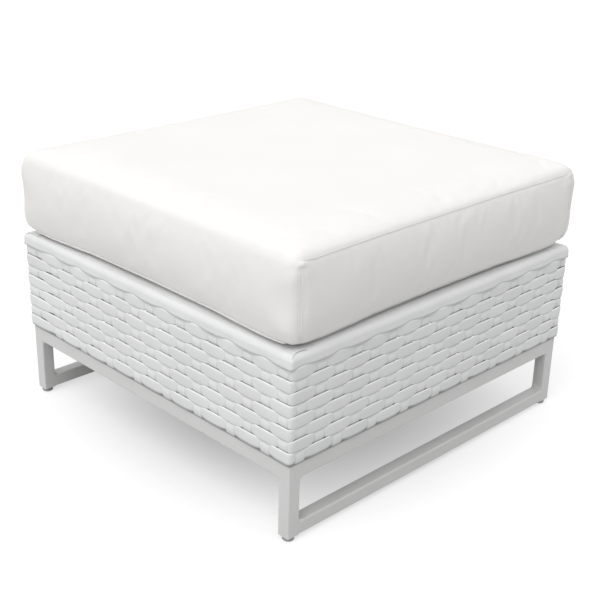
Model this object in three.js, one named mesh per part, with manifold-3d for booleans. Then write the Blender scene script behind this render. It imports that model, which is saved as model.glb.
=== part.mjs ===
// Outdoor ottoman: a sled frame of welded aluminium tube, a skirt woven from flat resin strips,
// a deck of crossed webbing, and a loose box cushion in a zipped cover.
// Millimetres, +Z up. The origin is on the floor under the middle of the frame.
// -Y is the front; the floor rails of the sled run along Y on the left and right sides.
import * as THREE from "three";
import { mergeVertices } from "three/addons/utils/BufferGeometryUtils.js";
import Module from "manifold-3d";

// Frame tube
const FRAME_WIDTH = 652; // along X, outside the legs
const FRAME_DEPTH = 652; // along Y, outside the legs
const TUBE_SIDE = 22;
const TUBE_WALL = 1.5;
const TUBE_CORNER = 2; // outside corner radius of every tube
const SKIRT_RAIL_HEIGHT = 40; // oblong tube that carries the foot of the skirt
const UNDER_RAIL = 95.5; // from the end of a leg up to the skirt rail
const WELD_FILLET = 10;
const JOIN_SINK = 0.5; // how far one joined shape reaches into the next

// Levelling glides
const GLIDE_STAND = 7.5; // from the floor to the end of a leg
const PAD_RADIUS = 9.25;
const PAD_HEIGHT = 5.6;
const PAD_CHAMFER = 0.7;
const PAD_FLOOR = 1.7; // under the stem's foot
const STEM_RADIUS = 4;
const STEM_LENGTH = 33;
const STEM_TIP_CHAMFER = 0.8;
const STEM_FOOT_RADIUS = 4.6;
const STEM_FOOT_HEIGHT = 2;
const COLLAR_RADIUS = 7;
const COLLAR_HEIGHT = 1.3;
const INSERT_HEIGHT = 16;
const INSERT_CORNER = 1.5;

// Woven skirt
const STRIP_THICKNESS = 1.2; // every resin strip
const ROW_COUNT = 8;
const ROW_PITCH = 18.7;
const ROW_GAP = 0.4;
const SKIRT_LAP = 12.3; // of the skirt over its rail
const HEM_HEIGHT = 2;
const HEAD_HEIGHT = 9.4; // band at the top of the stakes
const STAKE_WIDTH = 21.5;
const STAKE_PITCH = 37.4;
const STAKE_LAP = 1.5; // a row stays flat this far past each stake
const CORNER_STAKE_WIDTH = 28;
const CORNER_STAKE_PLACE = 18; // from the corner that it folds round to its middle
const FRONT_NEAR_PLACE = 15; // first stake of a front or back row
const FRONT_FIRST_PLACE = 51; // first and last stakes of the even run on the front or back
const FRONT_LAST_PLACE = 83.8;
const SIDE_FIRST_PLACE = 20; // first and last stakes of a side
const SIDE_LAST_PLACE = 39.4;
const RIM_HEIGHT = 19.2;
const RIM_WIDTH = 34;
const RIM_WALL = 1.7;
const RIM_ROUND = 9;

// Webbing deck
const STRAP_WIDTH = 50;
const STRAP_THICKNESS = 1.8;
const STRAP_END_INSET = 3; // from the outer face of the rail that it is fixed to
const STRAP_RAMP = 18;
const STRAP_PLACE_SHARES = [-0.32, -0.107, 0.107, 0.32]; // of the clear span between the rails

// Cushion
const CUSHION_OVERHANG = 4; // of its widest line past the face of the skirt
const CUSHION_HEIGHT = 155.2;
const CUSHION_CROWN = 24.2; // from the top seam, over its round shoulder, to the middle
const CUSHION_CORNER = 16;
const CUSHION_TUCK = 30; // from its widest line in to the edge of its flat bottom
const SEAM_DRAW = 6; // a seam draws in this far midway between two corners
const COVER_THICKNESS = 1.2;
// From the edge of the flat bottom, up the side, to the top seam
const PROFILE_RISE_SHARES = [0, 0.038, 0.107, 0.26, 0.427, 0.61, 0.809, 1]; // of the side's height
const PROFILE_TUCK_SHARES = [1, 0.67, 0.42, 0.16, 0.13, 0.13, 0, 0.15];
const PROFILE_DRAW_SHARES = [0.6, 0.8, 1, 0.5, 0, 0, 0.3, 1];
const BOTTOM_SEAM_STEPS = 2; // steps of the profile up to the bottom seam
const CROWN_RING_SHARES = [0.97, 0.94, 0.9, 0.5]; // of the way from the middle out to the top seam
const BOTTOM_RING_SHARE = 0.5;
const CROWN_FLAT_SHARE = 20; // power that keeps the top flat up to its shoulder
const CROWN_ROUND_SHARE = 0.6; // power that rounds the shoulder
const CORNER_STEPS = 3;
const SIDE_STEPS = 4;

// Zip in the back of the cover
const ZIP_LENGTH = 400;
const ZIP_HEIGHT = 12;
const ZIP_LEVEL_SHARE = 0.519; // of the side's height
const SLIDER_LENGTH = 9;
const SLIDER_HEIGHT = 8;
const SLIDER_THICKNESS = 2.3;
const SLIDER_END = 12; // from the end of the zip to the middle of the slider
const PULL_WIDTH = 3;
const PULL_LENGTH = 16;
const PULL_THICKNESS = 1.2;
const EYE_RADIUS = 1.7;
const PIN_RADIUS = 0.6;
const EAR_THICKNESS = 1.2;

// Running and laying clearance between pieces, and the distance that joins two vertices
const CLEARANCE = 0.3;
const MERGE_DISTANCE = 0.001;
const ROUND_STEPS = 12;
const FILLET_STEPS = 5;
const TUBE_BEND_SHARES = [0, 0.5, 1]; // of the quarter turn at a tube's corner
const RIM_BEND_SHARES = [0, 0.25, 0.5, 0.75, 1]; // of the quarter turn at the rim's edge

// Heights above the floor
const skirtRailBottom = GLIDE_STAND + UNDER_RAIL;
const skirtRailTop = skirtRailBottom + SKIRT_RAIL_HEIGHT;
const skirtBottom = skirtRailTop - SKIRT_LAP;
const rowsBottom = skirtBottom + HEM_HEIGHT;
const rimBottom = rowsBottom + ROW_COUNT * ROW_PITCH;
const rimTop = rimBottom + RIM_HEIGHT;
const deckRailTop = rimTop - RIM_WALL - CLEARANCE - STRAP_THICKNESS;
const cushionBottom = rimTop + CLEARANCE;

// Distances out from the frame's faces: the skirt is built on the middle plane of its stakes
const stakePlane = CLEARANCE + STRIP_THICKNESS + CLEARANCE + STRIP_THICKNESS / 2;
const weaveOffset = STRIP_THICKNESS + CLEARANCE;
const stakeFace = stakePlane + STRIP_THICKNESS / 2;
const rimFace = stakeFace + CLEARANCE + RIM_WALL;

const midX = FRAME_WIDTH / 2 + stakePlane;
const midY = FRAME_DEPTH / 2 + stakePlane;
const clearWidth = FRAME_WIDTH - 2 * TUBE_SIDE;
const clearDepth = FRAME_DEPTH - 2 * TUBE_SIDE;

const wasm = await Module();
wasm.setup();

const finishes = {
  tube: { color: 0xe6e6e4, roughness: 0.42, metalness: 0.3 },
  resin: { color: 0xe9e9ea, roughness: 0.5, metalness: 0 },
  webbing: { color: 0xd3d2cf, roughness: 0.85, metalness: 0 },
  glide: { color: 0xcfcfcd, roughness: 0.55, metalness: 0 },
  steel: { color: 0xb9bbbd, roughness: 0.35, metalness: 0.9 },
  foam: { color: 0xf2e8c9, roughness: 0.95, metalness: 0 },
  cover: { color: 0xf5f3ef, roughness: 0.9, metalness: 0 },
  zip: { color: 0xeeeeec, roughness: 0.6, metalness: 0 },
};

const ottoman = new THREE.Group();

// Adds one named piece and gives it back, so that it can be placed
function piece(name, geometry, finish, parent = ottoman) {
  const mesh = new THREE.Mesh(geometry, new THREE.MeshStandardMaterial(finishes[finish]));
  mesh.name = name;
  parent.add(mesh);
  return mesh;
}

// A geometry as a solid that can be joined and cut
function toSolid(geometry) {
  const loose = geometry.index ? geometry.toNonIndexed() : geometry;
  const bare = new THREE.BufferGeometry();
  bare.setAttribute("position", loose.getAttribute("position"));
  const merged = mergeVertices(bare, MERGE_DISTANCE);
  const mesh = new wasm.Mesh({
    numProp: 3,
    vertProperties: merged.attributes.position.array,
    triVerts: new Uint32Array(merged.index.array),
  });
  return new wasm.Manifold(mesh);
}

function toGeometry(solid) {
  const mesh = solid.getMesh();
  const geometry = new THREE.BufferGeometry();
  geometry.setAttribute("position", new THREE.BufferAttribute(mesh.vertProperties, mesh.numProp));
  geometry.setIndex(new THREE.BufferAttribute(mesh.triVerts, 1));
  const loose = geometry.toNonIndexed();
  loose.computeVertexNormals();
  return loose;
}

function join(geometries) {
  return toGeometry(geometries.map(toSolid).reduce((all, next) => all.add(next)));
}

// A box given by its lowest and highest corners
function boxBetween(low, high) {
  const size = high.map((value, axis) => value - low[axis]);
  const middle = high.map((value, axis) => (value + low[axis]) / 2);
  return new THREE.BoxGeometry(...size).translate(...middle);
}

// Outline of a rectangle with round corners, centred
function roundedOutline(width, height, radius) {
  const corners = [
    [1, -1, -Math.PI / 2],
    [1, 1, 0],
    [-1, 1, Math.PI / 2],
    [-1, -1, Math.PI],
  ];
  return corners.flatMap(([sideX, sideY, start]) =>
    TUBE_BEND_SHARES.map((stepShare) => {
      const angle = start + (stepShare * Math.PI) / 2;
      return new THREE.Vector2(
        sideX * (width / 2 - radius) + radius * Math.cos(angle),
        sideY * (height / 2 - radius) + radius * Math.sin(angle),
      );
    }),
  );
}

// Hollow tube along Z from zero to its length, open at both ends
function tube(width, height, length) {
  const section = new THREE.Shape(roundedOutline(width, height, TUBE_CORNER));
  const bore = roundedOutline(width - 2 * TUBE_WALL, height - 2 * TUBE_WALL, TUBE_CORNER - TUBE_WALL);
  section.holes.push(new THREE.Path(bore));
  return new THREE.ExtrudeGeometry(section, { depth: length, bevelEnabled: false });
}

// Hollow rail along X, centred, standing on z = 0. Its ends flare into the legs with weld
// fillets on the under side (-1), on the upper side (1) or not at all (0).
function rail(length, height, filletSide) {
  const bare = tube(height, TUBE_SIDE, length).rotateY(Math.PI / 2).translate(-length / 2, 0, height / 2);
  if (filletSide === 0) return bare;
  const corner = new THREE.Shape();
  corner.moveTo(0, JOIN_SINK);
  corner.lineTo(0, -WELD_FILLET);
  corner.absarc(WELD_FILLET, -WELD_FILLET, WELD_FILLET, Math.PI, Math.PI / 2, true);
  corner.lineTo(WELD_FILLET, JOIN_SINK);
  const flare = new THREE.ExtrudeGeometry(corner, {
    depth: TUBE_SIDE - 2 * TUBE_CORNER,
    bevelEnabled: false,
    curveSegments: FILLET_STEPS,
  });
  flare.rotateX(Math.PI / 2).translate(-length / 2, TUBE_SIDE / 2 - TUBE_CORNER, 0);
  if (filletSide > 0) flare.rotateX(Math.PI).translate(0, 0, height);
  return join([bare, flare, flare.clone().rotateZ(Math.PI)]);
}

// Frame: four corner legs, and rails along X and along Y between them
function addFrame() {
  const legX = (FRAME_WIDTH - TUBE_SIDE) / 2;
  const legY = (FRAME_DEPTH - TUBE_SIDE) / 2;
  const corners = { front_left: [-1, -1], front_right: [1, -1], back_left: [-1, 1], back_right: [1, 1] };
  for (const [corner, [sideX, sideY]] of Object.entries(corners)) {
    const leg = tube(TUBE_SIDE, TUBE_SIDE, deckRailTop - GLIDE_STAND);
    piece(`leg_${corner}`, leg, "tube").position.set(sideX * legX, sideY * legY, GLIDE_STAND);
    addGlide(corner, sideX * legX, sideY * legY);
  }
  const levels = [
    { kind: "skirt_rail", z: skirtRailBottom, height: SKIRT_RAIL_HEIGHT, fillet: -1 },
    { kind: "deck_rail", z: deckRailTop - TUBE_SIDE, height: TUBE_SIDE, fillet: 0 },
  ];
  for (const { kind, z, height, fillet } of levels)
    for (const [side, sign] of [["front", -1], ["back", 1]])
      piece(`${kind}_${side}`, rail(clearWidth, height, fillet), "tube").position.set(0, sign * legY, z);
  levels.push({ kind: "floor_rail", z: GLIDE_STAND, height: TUBE_SIDE, fillet: 1 });
  for (const { kind, z, height, fillet } of levels)
    for (const [side, sign] of [["left", -1], ["right", 1]]) {
      const mesh = piece(`${kind}_${side}`, rail(clearDepth, height, fillet), "tube");
      mesh.position.set(sign * legX, 0, z);
      mesh.rotation.z = Math.PI / 2;
    }
}

// Glide under one leg: a plug in the tube, a threaded stem that turns in it, and the pad,
// which stays still on the floor while the stem turns in its socket
function addGlide(corner, x, y) {
  const plugSide = TUBE_SIDE - 2 * (TUBE_WALL + CLEARANCE);
  const plug = new THREE.Shape(roundedOutline(plugSide, plugSide, INSERT_CORNER));
  plug.holes.push(new THREE.Path().absarc(0, 0, STEM_RADIUS + CLEARANCE, 0, 2 * Math.PI, true));
  const plugForm = { depth: INSERT_HEIGHT, bevelEnabled: false, curveSegments: ROUND_STEPS / 2 };
  const plugGeometry = new THREE.ExtrudeGeometry(plug, plugForm);
  piece(`glide_plug_${corner}`, plugGeometry, "glide").position.set(x, y, GLIDE_STAND);

  const footBottom = PAD_FLOOR + CLEARANCE;
  const footTop = footBottom + STEM_FOOT_HEIGHT;
  const collarTop = GLIDE_STAND - CLEARANCE;
  const stemTop = footBottom + STEM_LENGTH;
  const stem = [
    [0, footBottom],
    [STEM_FOOT_RADIUS, footBottom],
    [STEM_FOOT_RADIUS, footTop],
    [STEM_RADIUS, footTop],
    [STEM_RADIUS, collarTop - COLLAR_HEIGHT],
    [COLLAR_RADIUS, collarTop - COLLAR_HEIGHT],
    [COLLAR_RADIUS, collarTop],
    [STEM_RADIUS, collarTop],
    [STEM_RADIUS, stemTop - STEM_TIP_CHAMFER],
    [STEM_RADIUS - STEM_TIP_CHAMFER, stemTop],
    [0, stemTop],
  ];
  piece(`glide_stem_${corner}`, turned(stem), "steel").position.set(x, y, 0);

  const socketTop = footTop + CLEARANCE;
  const pad = [
    [0, 0],
    [PAD_RADIUS - PAD_CHAMFER, 0],
    [PAD_RADIUS, PAD_CHAMFER],
    [PAD_RADIUS, PAD_HEIGHT - PAD_CHAMFER],
    [PAD_RADIUS - PAD_CHAMFER, PAD_HEIGHT],
    [STEM_RADIUS + CLEARANCE, PAD_HEIGHT],
    [STEM_RADIUS + CLEARANCE, socketTop],
    [STEM_FOOT_RADIUS + CLEARANCE, socketTop],
    [STEM_FOOT_RADIUS + CLEARANCE, PAD_FLOOR],
    [0, PAD_FLOOR],
  ];
  piece(`glide_pad_${corner}`, turned(pad), "glide").position.set(x, y, 0);
}

// A piece turned about Z from [radius, height] points that run up its outside
function turned(points) {
  const profile = points.map(([radius, height]) => new THREE.Vector2(radius, height));
  return new THREE.LatheGeometry(profile, ROUND_STEPS).rotateX(Math.PI / 2);
}

// Places of the stakes along one face, each with its distance from the start and its width.
// The even run always has an odd number of stakes, so over and under close up round the box.
function evenRun(first, last) {
  const gaps = 2 * Math.round((last - first) / (2 * STAKE_PITCH));
  return Array.from({ length: gaps + 1 }, (_, i) => ({
    place: first + ((last - first) * i) / gaps,
    width: STAKE_WIDTH,
  }));
}
const sideStakes = evenRun(SIDE_FIRST_PLACE, 2 * midY - SIDE_LAST_PLACE);
const frontStakes = [
  { place: FRONT_NEAR_PLACE, width: STAKE_WIDTH },
  ...evenRun(FRONT_FIRST_PLACE, 2 * midX - FRONT_LAST_PLACE),
  { place: 2 * midX - CORNER_STAKE_PLACE, width: CORNER_STAKE_WIDTH },
];

// The path of one row half way round: up the right side from the front corner, then along the
// back to the left. The other half is this one turned by half a turn.
function halfRow(row) {
  const stakes = [
    ...sideStakes.map((stake) => ({ ...stake, onSide: true })),
    ...frontStakes.map((stake) => ({ ...stake, onSide: false })).reverse(),
  ];
  const path = [new THREE.Vector2(midX, -midY)];
  stakes.forEach(({ place, width, onSide }, i) => {
    const out = (i + row) % 2 === 0 ? weaveOffset : -weaveOffset;
    const reach = width / 2 + STAKE_LAP;
    if (i === sideStakes.length) path.push(new THREE.Vector2(midX, midY));
    for (const sign of onSide ? [-1, 1] : [1, -1]) {
      const along = place + sign * reach;
      path.push(
        onSide ? new THREE.Vector2(midX + out, along - midY) : new THREE.Vector2(along - midX, midY + out),
      );
    }
  });
  return path;
}

// A closed path moved sideways by a distance, to its right if that is positive
function offsetLoop(points, distance) {
  return points.map((point, i) => {
    const before = points[(i + points.length - 1) % points.length];
    const after = points[(i + 1) % points.length];
    const arriving = point.clone().sub(before).normalize();
    const leaving = after.clone().sub(point).normalize();
    const normal = new THREE.Vector2(arriving.y + leaving.y, -arriving.x - leaving.x).normalize();
    const stretch = normal.x * arriving.y - normal.y * arriving.x;
    return point.clone().addScaledVector(normal, distance / stretch);
  });
}

// Weaver rows: one flat strip round the whole box at each level, numbered down from the rim
function addRows() {
  for (let level = 0; level < ROW_COUNT; level++) {
    const row = ROW_COUNT + 1 - level;
    const half = halfRow(row);
    const loop = [...half, ...half.map((point) => point.clone().negate())];
    const ring = new THREE.Shape(offsetLoop(loop, STRIP_THICKNESS / 2));
    ring.holes.push(new THREE.Path(offsetLoop(loop, -STRIP_THICKNESS / 2)));
    const strip = new THREE.ExtrudeGeometry(ring, { depth: ROW_PITCH - ROW_GAP, bevelEnabled: false });
    piece(`weaver_row_${row}`, strip, "resin").position.z = rowsBottom + level * ROW_PITCH + ROW_GAP / 2;
  }
}

// Stakes of one face, joined by the band stapled to the deck rail and by the hem on the skirt
// rail. It is made for a face that looks along -Y; places run from the right to the left.
function stakePanel(stakes, halfLength, halfBand, faceDistance) {
  const outer = -(faceDistance + stakeFace);
  const inner = -(faceDistance + CLEARANCE);
  const bars = [
    boxBetween([-halfBand, outer, skirtBottom], [halfBand, inner, skirtBottom + HEM_HEIGHT]),
    boxBetween([-halfBand, outer, rimBottom + ROW_GAP], [halfBand, inner, rimBottom + HEAD_HEIGHT]),
  ];
  const uprights = stakes.map(({ place, width }) => {
    const middle = halfLength - place;
    return boxBetween(
      [middle - width / 2, outer, skirtBottom + HEM_HEIGHT - JOIN_SINK],
      [middle + width / 2, outer + STRIP_THICKNESS, rimBottom + ROW_GAP + JOIN_SINK],
    );
  });
  return join([...bars, ...uprights]);
}

function addStakePanels() {
  const front = stakePanel(frontStakes, midX, FRAME_WIDTH / 2 + stakeFace, FRAME_DEPTH / 2);
  const fromBack = sideStakes.map((stake) => ({ ...stake, place: 2 * midY - stake.place }));
  const right = stakePanel(fromBack, midY, FRAME_DEPTH / 2, FRAME_WIDTH / 2).rotateZ(Math.PI / 2);
  piece("stake_panel_front", front, "resin");
  piece("stake_panel_right", right, "resin");
  piece("stake_panel_back", front.clone().rotateZ(Math.PI), "resin");
  piece("stake_panel_left", right.clone().rotateZ(Math.PI), "resin");
}

// Rim: four strips folded over the top edge, mitred at the corners. The profile holds
// [distance in from the skirt's face, height] and is swept along the face that looks along -Y.
function rimStrip(halfLength, halfDepth) {
  const inRound = RIM_ROUND - RIM_WALL;
  const roundHeight = rimTop - RIM_ROUND;
  const bend = (radius, stepShare) => [
    RIM_ROUND - radius * Math.cos((stepShare * Math.PI) / 2),
    roundHeight + radius * Math.sin((stepShare * Math.PI) / 2),
  ];
  const outside = RIM_BEND_SHARES.map((stepShare) => bend(RIM_ROUND, stepShare)).reverse();
  const inside = RIM_BEND_SHARES.map((stepShare) => bend(inRound, stepShare));
  const profile = [
    [0, rimBottom],
    [RIM_WALL, rimBottom],
    ...inside,
    [RIM_WIDTH, rimTop - RIM_WALL],
    [RIM_WIDTH, rimTop],
    ...outside,
  ];
  const end = (sign) =>
    profile.map(([inset, height]) => {
      const along = halfLength - inset - CLEARANCE / 2;
      return new THREE.Vector3(sign * along, inset - halfDepth, height);
    });
  const outline = profile.map(([inset, height]) => new THREE.Vector2(inset, height));
  return prism(end(-1), end(1), THREE.ShapeUtils.triangulateShape(outline, []));
}

// A solid between two matching end faces, which share one list of triangles
function prism(startRing, endRing, capTriangles) {
  const corners = [];
  startRing.forEach((point, i) => {
    const next = (i + 1) % startRing.length;
    corners.push(point, startRing[next], endRing[next], point, endRing[next], endRing[i]);
  });
  for (const [a, b, c] of capTriangles) {
    corners.push(startRing[a], startRing[c], startRing[b], endRing[a], endRing[b], endRing[c]);
  }
  return facing(corners);
}

// A geometry from triangle corners, with normals square to its triangles
function facing(corners) {
  const geometry = new THREE.BufferGeometry().setFromPoints(corners);
  geometry.computeVertexNormals();
  return geometry;
}

function addRim() {
  const halfX = FRAME_WIDTH / 2 + rimFace;
  const halfY = FRAME_DEPTH / 2 + rimFace;
  const front = rimStrip(halfX, halfY);
  const right = rimStrip(halfY, halfX).rotateZ(Math.PI / 2);
  piece("rim_front", front, "resin");
  piece("rim_right", right, "resin");
  piece("rim_back", front.clone().rotateZ(Math.PI), "resin");
  piece("rim_left", right.clone().rotateZ(Math.PI), "resin");
}

// Deck: webbing straps fixed on the rails and woven over and under each other. A strap is
// drawn from the side, along X, and rises over every crossing where it is the upper one.
function strap(length, crossings, firstIsOver) {
  const lift = STRAP_THICKNESS + CLEARANCE;
  const half = length / 2 - STRAP_END_INSET;
  const path = [[-half, 0]];
  crossings.forEach((middle, i) => {
    const isOver = i % 2 === (firstIsOver ? 0 : 1);
    if (!isOver) return;
    const flat = STRAP_WIDTH / 2 + CLEARANCE;
    path.push([middle - flat - STRAP_RAMP, 0], [middle - flat, lift]);
    path.push([middle + flat, lift], [middle + flat + STRAP_RAMP, 0]);
  });
  path.push([half, 0]);
  const top = path.map(([x, z]) => new THREE.Vector2(x, z + STRAP_THICKNESS)).reverse();
  const side = new THREE.Shape([...path.map(([x, z]) => new THREE.Vector2(x, z)), ...top]);
  const solid = new THREE.ExtrudeGeometry(side, { depth: STRAP_WIDTH, bevelEnabled: false });
  return solid.rotateX(Math.PI / 2).translate(0, STRAP_WIDTH / 2, 0);
}

function addDeck() {
  const acrossPlaces = STRAP_PLACE_SHARES.map((share) => share * clearWidth);
  const alongPlaces = STRAP_PLACE_SHARES.map((share) => share * clearDepth);
  alongPlaces.forEach((y, i) => {
    const mesh = piece(`strap_across_${i + 1}`, strap(FRAME_WIDTH, acrossPlaces, i % 2 === 0), "webbing");
    mesh.position.set(0, y, deckRailTop);
  });
  acrossPlaces.forEach((x, i) => {
    const mesh = piece(`strap_along_${i + 1}`, strap(FRAME_DEPTH, alongPlaces, i % 2 === 1), "webbing");
    mesh.position.set(x, 0, deckRailTop);
    mesh.rotation.z = Math.PI / 2;
  });
}

// Cushion: half sizes at its widest, and its side profile as [tuck in from the widest, rise, draw]
const cushionHalfX = FRAME_WIDTH / 2 + rimFace + CUSHION_OVERHANG;
const cushionHalfY = FRAME_DEPTH / 2 + rimFace + CUSHION_OVERHANG;
const sideHeight = CUSHION_HEIGHT - CUSHION_CROWN;
const sideProfile = PROFILE_RISE_SHARES.map((share, i) => ({
  tuck: PROFILE_TUCK_SHARES[i] * CUSHION_TUCK,
  rise: share * sideHeight,
  draw: PROFILE_DRAW_SHARES[i] * SEAM_DRAW,
}));
const topSeam = sideProfile[sideProfile.length - 1];

// Levels of the crown, from the top seam inwards, and of the bottom, from its middle outwards
const crownLevels = CROWN_RING_SHARES.map((share) => ({
  tuck: topSeam.tuck + (cushionHalfX - topSeam.tuck) * (1 - share),
  rise: topSeam.rise + CUSHION_CROWN * (1 - share ** CROWN_FLAT_SHARE) ** CROWN_ROUND_SHARE,
  draw: topSeam.draw * share,
}));
const crownTop = { tuck: cushionHalfX, rise: CUSHION_HEIGHT, draw: 0 };
const bottomMiddle = { tuck: cushionHalfX, rise: 0, draw: 0 };
const bottomLevels = [{ tuck: cushionHalfX * (1 - BOTTOM_RING_SHARE), rise: 0, draw: 0 }];
const wholeProfile = [bottomMiddle, ...bottomLevels, ...sideProfile, ...crownLevels, crownTop];

// The profile moved inwards by a wall thickness, square to its own run
function insideProfile(levels, wall) {
  return levels.map((level, i) => {
    const before = levels[Math.max(i - 1, 0)];
    const after = levels[Math.min(i + 1, levels.length - 1)];
    const arriving = new THREE.Vector2(level.tuck - before.tuck, level.rise - before.rise).normalize();
    const leaving = new THREE.Vector2(after.tuck - level.tuck, after.rise - level.rise).normalize();
    const normal = new THREE.Vector2(arriving.y + leaving.y, -arriving.x - leaving.x).normalize();
    const run = arriving.lengthSq() > 0 ? arriving : leaving;
    const stretch = normal.x * run.y - normal.y * run.x;
    return {
      tuck: level.tuck + (normal.x * wall) / stretch,
      rise: level.rise + (normal.y * wall) / stretch,
      draw: level.draw,
    };
  });
}

// How far back a level reaches: all levels close on the middle together, in width and in depth
function backFace(tuck) {
  return cushionHalfY * (1 - tuck / cushionHalfX);
}

// One ring of the cushion: round corners, and sides that draw in midway between them.
// A level at the very middle is a single point.
function cushionRing({ tuck, rise, draw }) {
  const z = cushionBottom + rise;
  if (tuck >= cushionHalfX) return [new THREE.Vector3(0, 0, z)];
  const halfX = cushionHalfX - tuck;
  const halfY = backFace(tuck);
  const corner = (CUSHION_CORNER * halfX) / cushionHalfX;
  const ring = [];
  for (let side = 0; side < 4; side++) {
    const turn = (side * Math.PI) / 2;
    const out = side % 2 === 0 ? halfX : halfY;
    const reach = (side % 2 === 0 ? halfY : halfX) - corner;
    const local = [];
    for (let step = 1; step < SIDE_STEPS; step++) {
      const share = (2 * step) / SIDE_STEPS - 1;
      local.push([out - draw * (1 - share * share), share * reach]);
    }
    for (let step = 0; step <= CORNER_STEPS; step++) {
      const angle = ((step / CORNER_STEPS) * Math.PI) / 2;
      local.push([out - corner + corner * Math.cos(angle), reach + corner * Math.sin(angle)]);
    }
    for (const [x, y] of local)
      ring.push(new THREE.Vector3(x, y, z).applyAxisAngle(new THREE.Vector3(0, 0, 1), turn));
  }
  return ring;
}

// Closed skin over a run of rings. A ring of one point closes an end; a looped run joins its
// last ring to its first. Both faces of a wall are split along the diagonal that starts low.
function loft(rings, looped = false) {
  const corners = [];
  const last = looped ? rings.length : rings.length - 1;
  for (let i = 0; i < last; i++) {
    const low = rings[i];
    const high = rings[(i + 1) % rings.length];
    const count = Math.max(low.length, high.length);
    const falls = low[0].z > high[0].z;
    for (let k = 0; k < count; k++) {
      const next = (k + 1) % count;
      if (low.length === 1) corners.push(low[0], high[next], high[k]);
      else if (high.length === 1) corners.push(low[k], low[next], high[0]);
      else if (falls) corners.push(low[k], low[next], high[k], low[next], high[next], high[k]);
      else corners.push(low[k], low[next], high[next], low[k], high[next], high[k]);
    }
  }
  return facing(corners);
}

// The point of a profile a little way from one level towards another
function levelBetween(from, to, distance) {
  const share = distance / Math.hypot(to.tuck - from.tuck, to.rise - from.rise);
  const mix = (key) => from[key] + (to[key] - from[key]) * share;
  return { tuck: mix("tuck"), rise: mix("rise"), draw: mix("draw") };
}

function addCushion() {
  const cushion = new THREE.Group();
  ottoman.add(cushion);
  const inner = insideProfile(wholeProfile, COVER_THICKNESS);
  const core = insideProfile(wholeProfile, COVER_THICKNESS + CLEARANCE);
  const lowSeam = 1 + bottomLevels.length + BOTTOM_SEAM_STEPS;
  const highSeam = bottomLevels.length + sideProfile.length;
  piece("cushion_core", loft(core.map(cushionRing)), "foam", cushion);

  const bottomRun = (profile) => [
    ...profile.slice(0, lowSeam),
    levelBetween(profile[lowSeam], profile[lowSeam - 1], CLEARANCE),
  ];
  const bottom = [...bottomRun(wholeProfile), ...bottomRun(inner).reverse()];
  piece("cover_bottom_panel", loft(bottom.map(cushionRing)), "cover", cushion);

  const topRun = (profile) => [
    levelBetween(profile[highSeam], profile[highSeam + 1], CLEARANCE),
    ...profile.slice(highSeam + 1),
  ];
  const top = [...topRun(inner).reverse(), ...topRun(wholeProfile)];
  piece("cover_top_panel", loft(top.map(cushionRing)), "cover", cushion);

  const boxingRun = (profile) => profile.slice(lowSeam, highSeam + 1);
  const band = [...boxingRun(wholeProfile), ...boxingRun(inner).reverse()];
  const boxing = toSolid(loft(band.map(cushionRing), true));
  const zipMiddle = cushionBottom + ZIP_LEVEL_SHARE * sideHeight;
  const slot = (shrink) =>
    toSolid(
      boxBetween(
        [-ZIP_LENGTH / 2 + shrink, 0, zipMiddle - ZIP_HEIGHT / 2 + shrink],
        [ZIP_LENGTH / 2 - shrink, 2 * cushionHalfY, zipMiddle + ZIP_HEIGHT / 2 - shrink],
      ),
    );
  piece("cover_boxing", toGeometry(boxing.subtract(slot(0))), "cover", cushion);
  piece("zip_tape", toGeometry(boxing.intersect(slot(CLEARANCE))), "zip", cushion);
  addZipSlider(cushion, zipMiddle);
}

// Slider of the zip with two ears that hold a pin, and the pull whose eye swings on the pin
function addZipSlider(cushion, zipMiddle) {
  const tapeFace = backFace(wholeProfile.find(({ draw, rise }) => draw === 0 && rise > 0).tuck);
  const x = ZIP_LENGTH / 2 - SLIDER_END;
  const back = tapeFace + CLEARANCE;
  const foot = zipMiddle - SLIDER_HEIGHT / 2;
  const pinY = back + EYE_RADIUS + CLEARANCE / 2;
  const pinZ = foot - EYE_RADIUS - 2 * CLEARANCE;
  const earInner = PULL_WIDTH / 2 + CLEARANCE;
  const earOuter = earInner + EAR_THICKNESS;
  const body = boxBetween(
    [-SLIDER_LENGTH / 2, back, foot],
    [SLIDER_LENGTH / 2, back + SLIDER_THICKNESS, foot + SLIDER_HEIGHT],
  );
  const ears = [-1, 1].map((sign) => {
    const span = [sign * earInner, sign * earOuter].sort((a, b) => a - b);
    return boxBetween(
      [span[0], back, pinZ - 2 * PIN_RADIUS],
      [span[1], back + SLIDER_THICKNESS, foot + JOIN_SINK],
    );
  });
  const pin = new THREE.CylinderGeometry(PIN_RADIUS, PIN_RADIUS, earInner + earOuter, ROUND_STEPS / 2);
  pin.rotateZ(Math.PI / 2).translate(0, pinY, pinZ);
  piece("zip_slider", join([body, ...ears, pin]), "zip", cushion).position.x = x;

  const eye = new THREE.Shape().absarc(0, 0, EYE_RADIUS, 0, 2 * Math.PI, false);
  eye.holes.push(new THREE.Path().absarc(0, 0, PIN_RADIUS + CLEARANCE, 0, 2 * Math.PI, true));
  const form = { depth: PULL_WIDTH, bevelEnabled: false, curveSegments: ROUND_STEPS / 2 };
  const ring = new THREE.ExtrudeGeometry(eye, form).rotateY(Math.PI / 2).translate(-PULL_WIDTH / 2, 0, 0);
  const tongue = boxBetween(
    [-PULL_WIDTH / 2, -PULL_THICKNESS / 2, -PULL_LENGTH],
    [PULL_WIDTH / 2, PULL_THICKNESS / 2, -PIN_RADIUS - 2 * CLEARANCE],
  );
  piece("zip_pull", join([ring, tongue]), "zip", cushion).position.set(x, pinY, pinZ);
}

addFrame();
addRows();
addStakePanels();
addRim();
addDeck();
addCushion();

export default ottoman;
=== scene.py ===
import math

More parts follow.
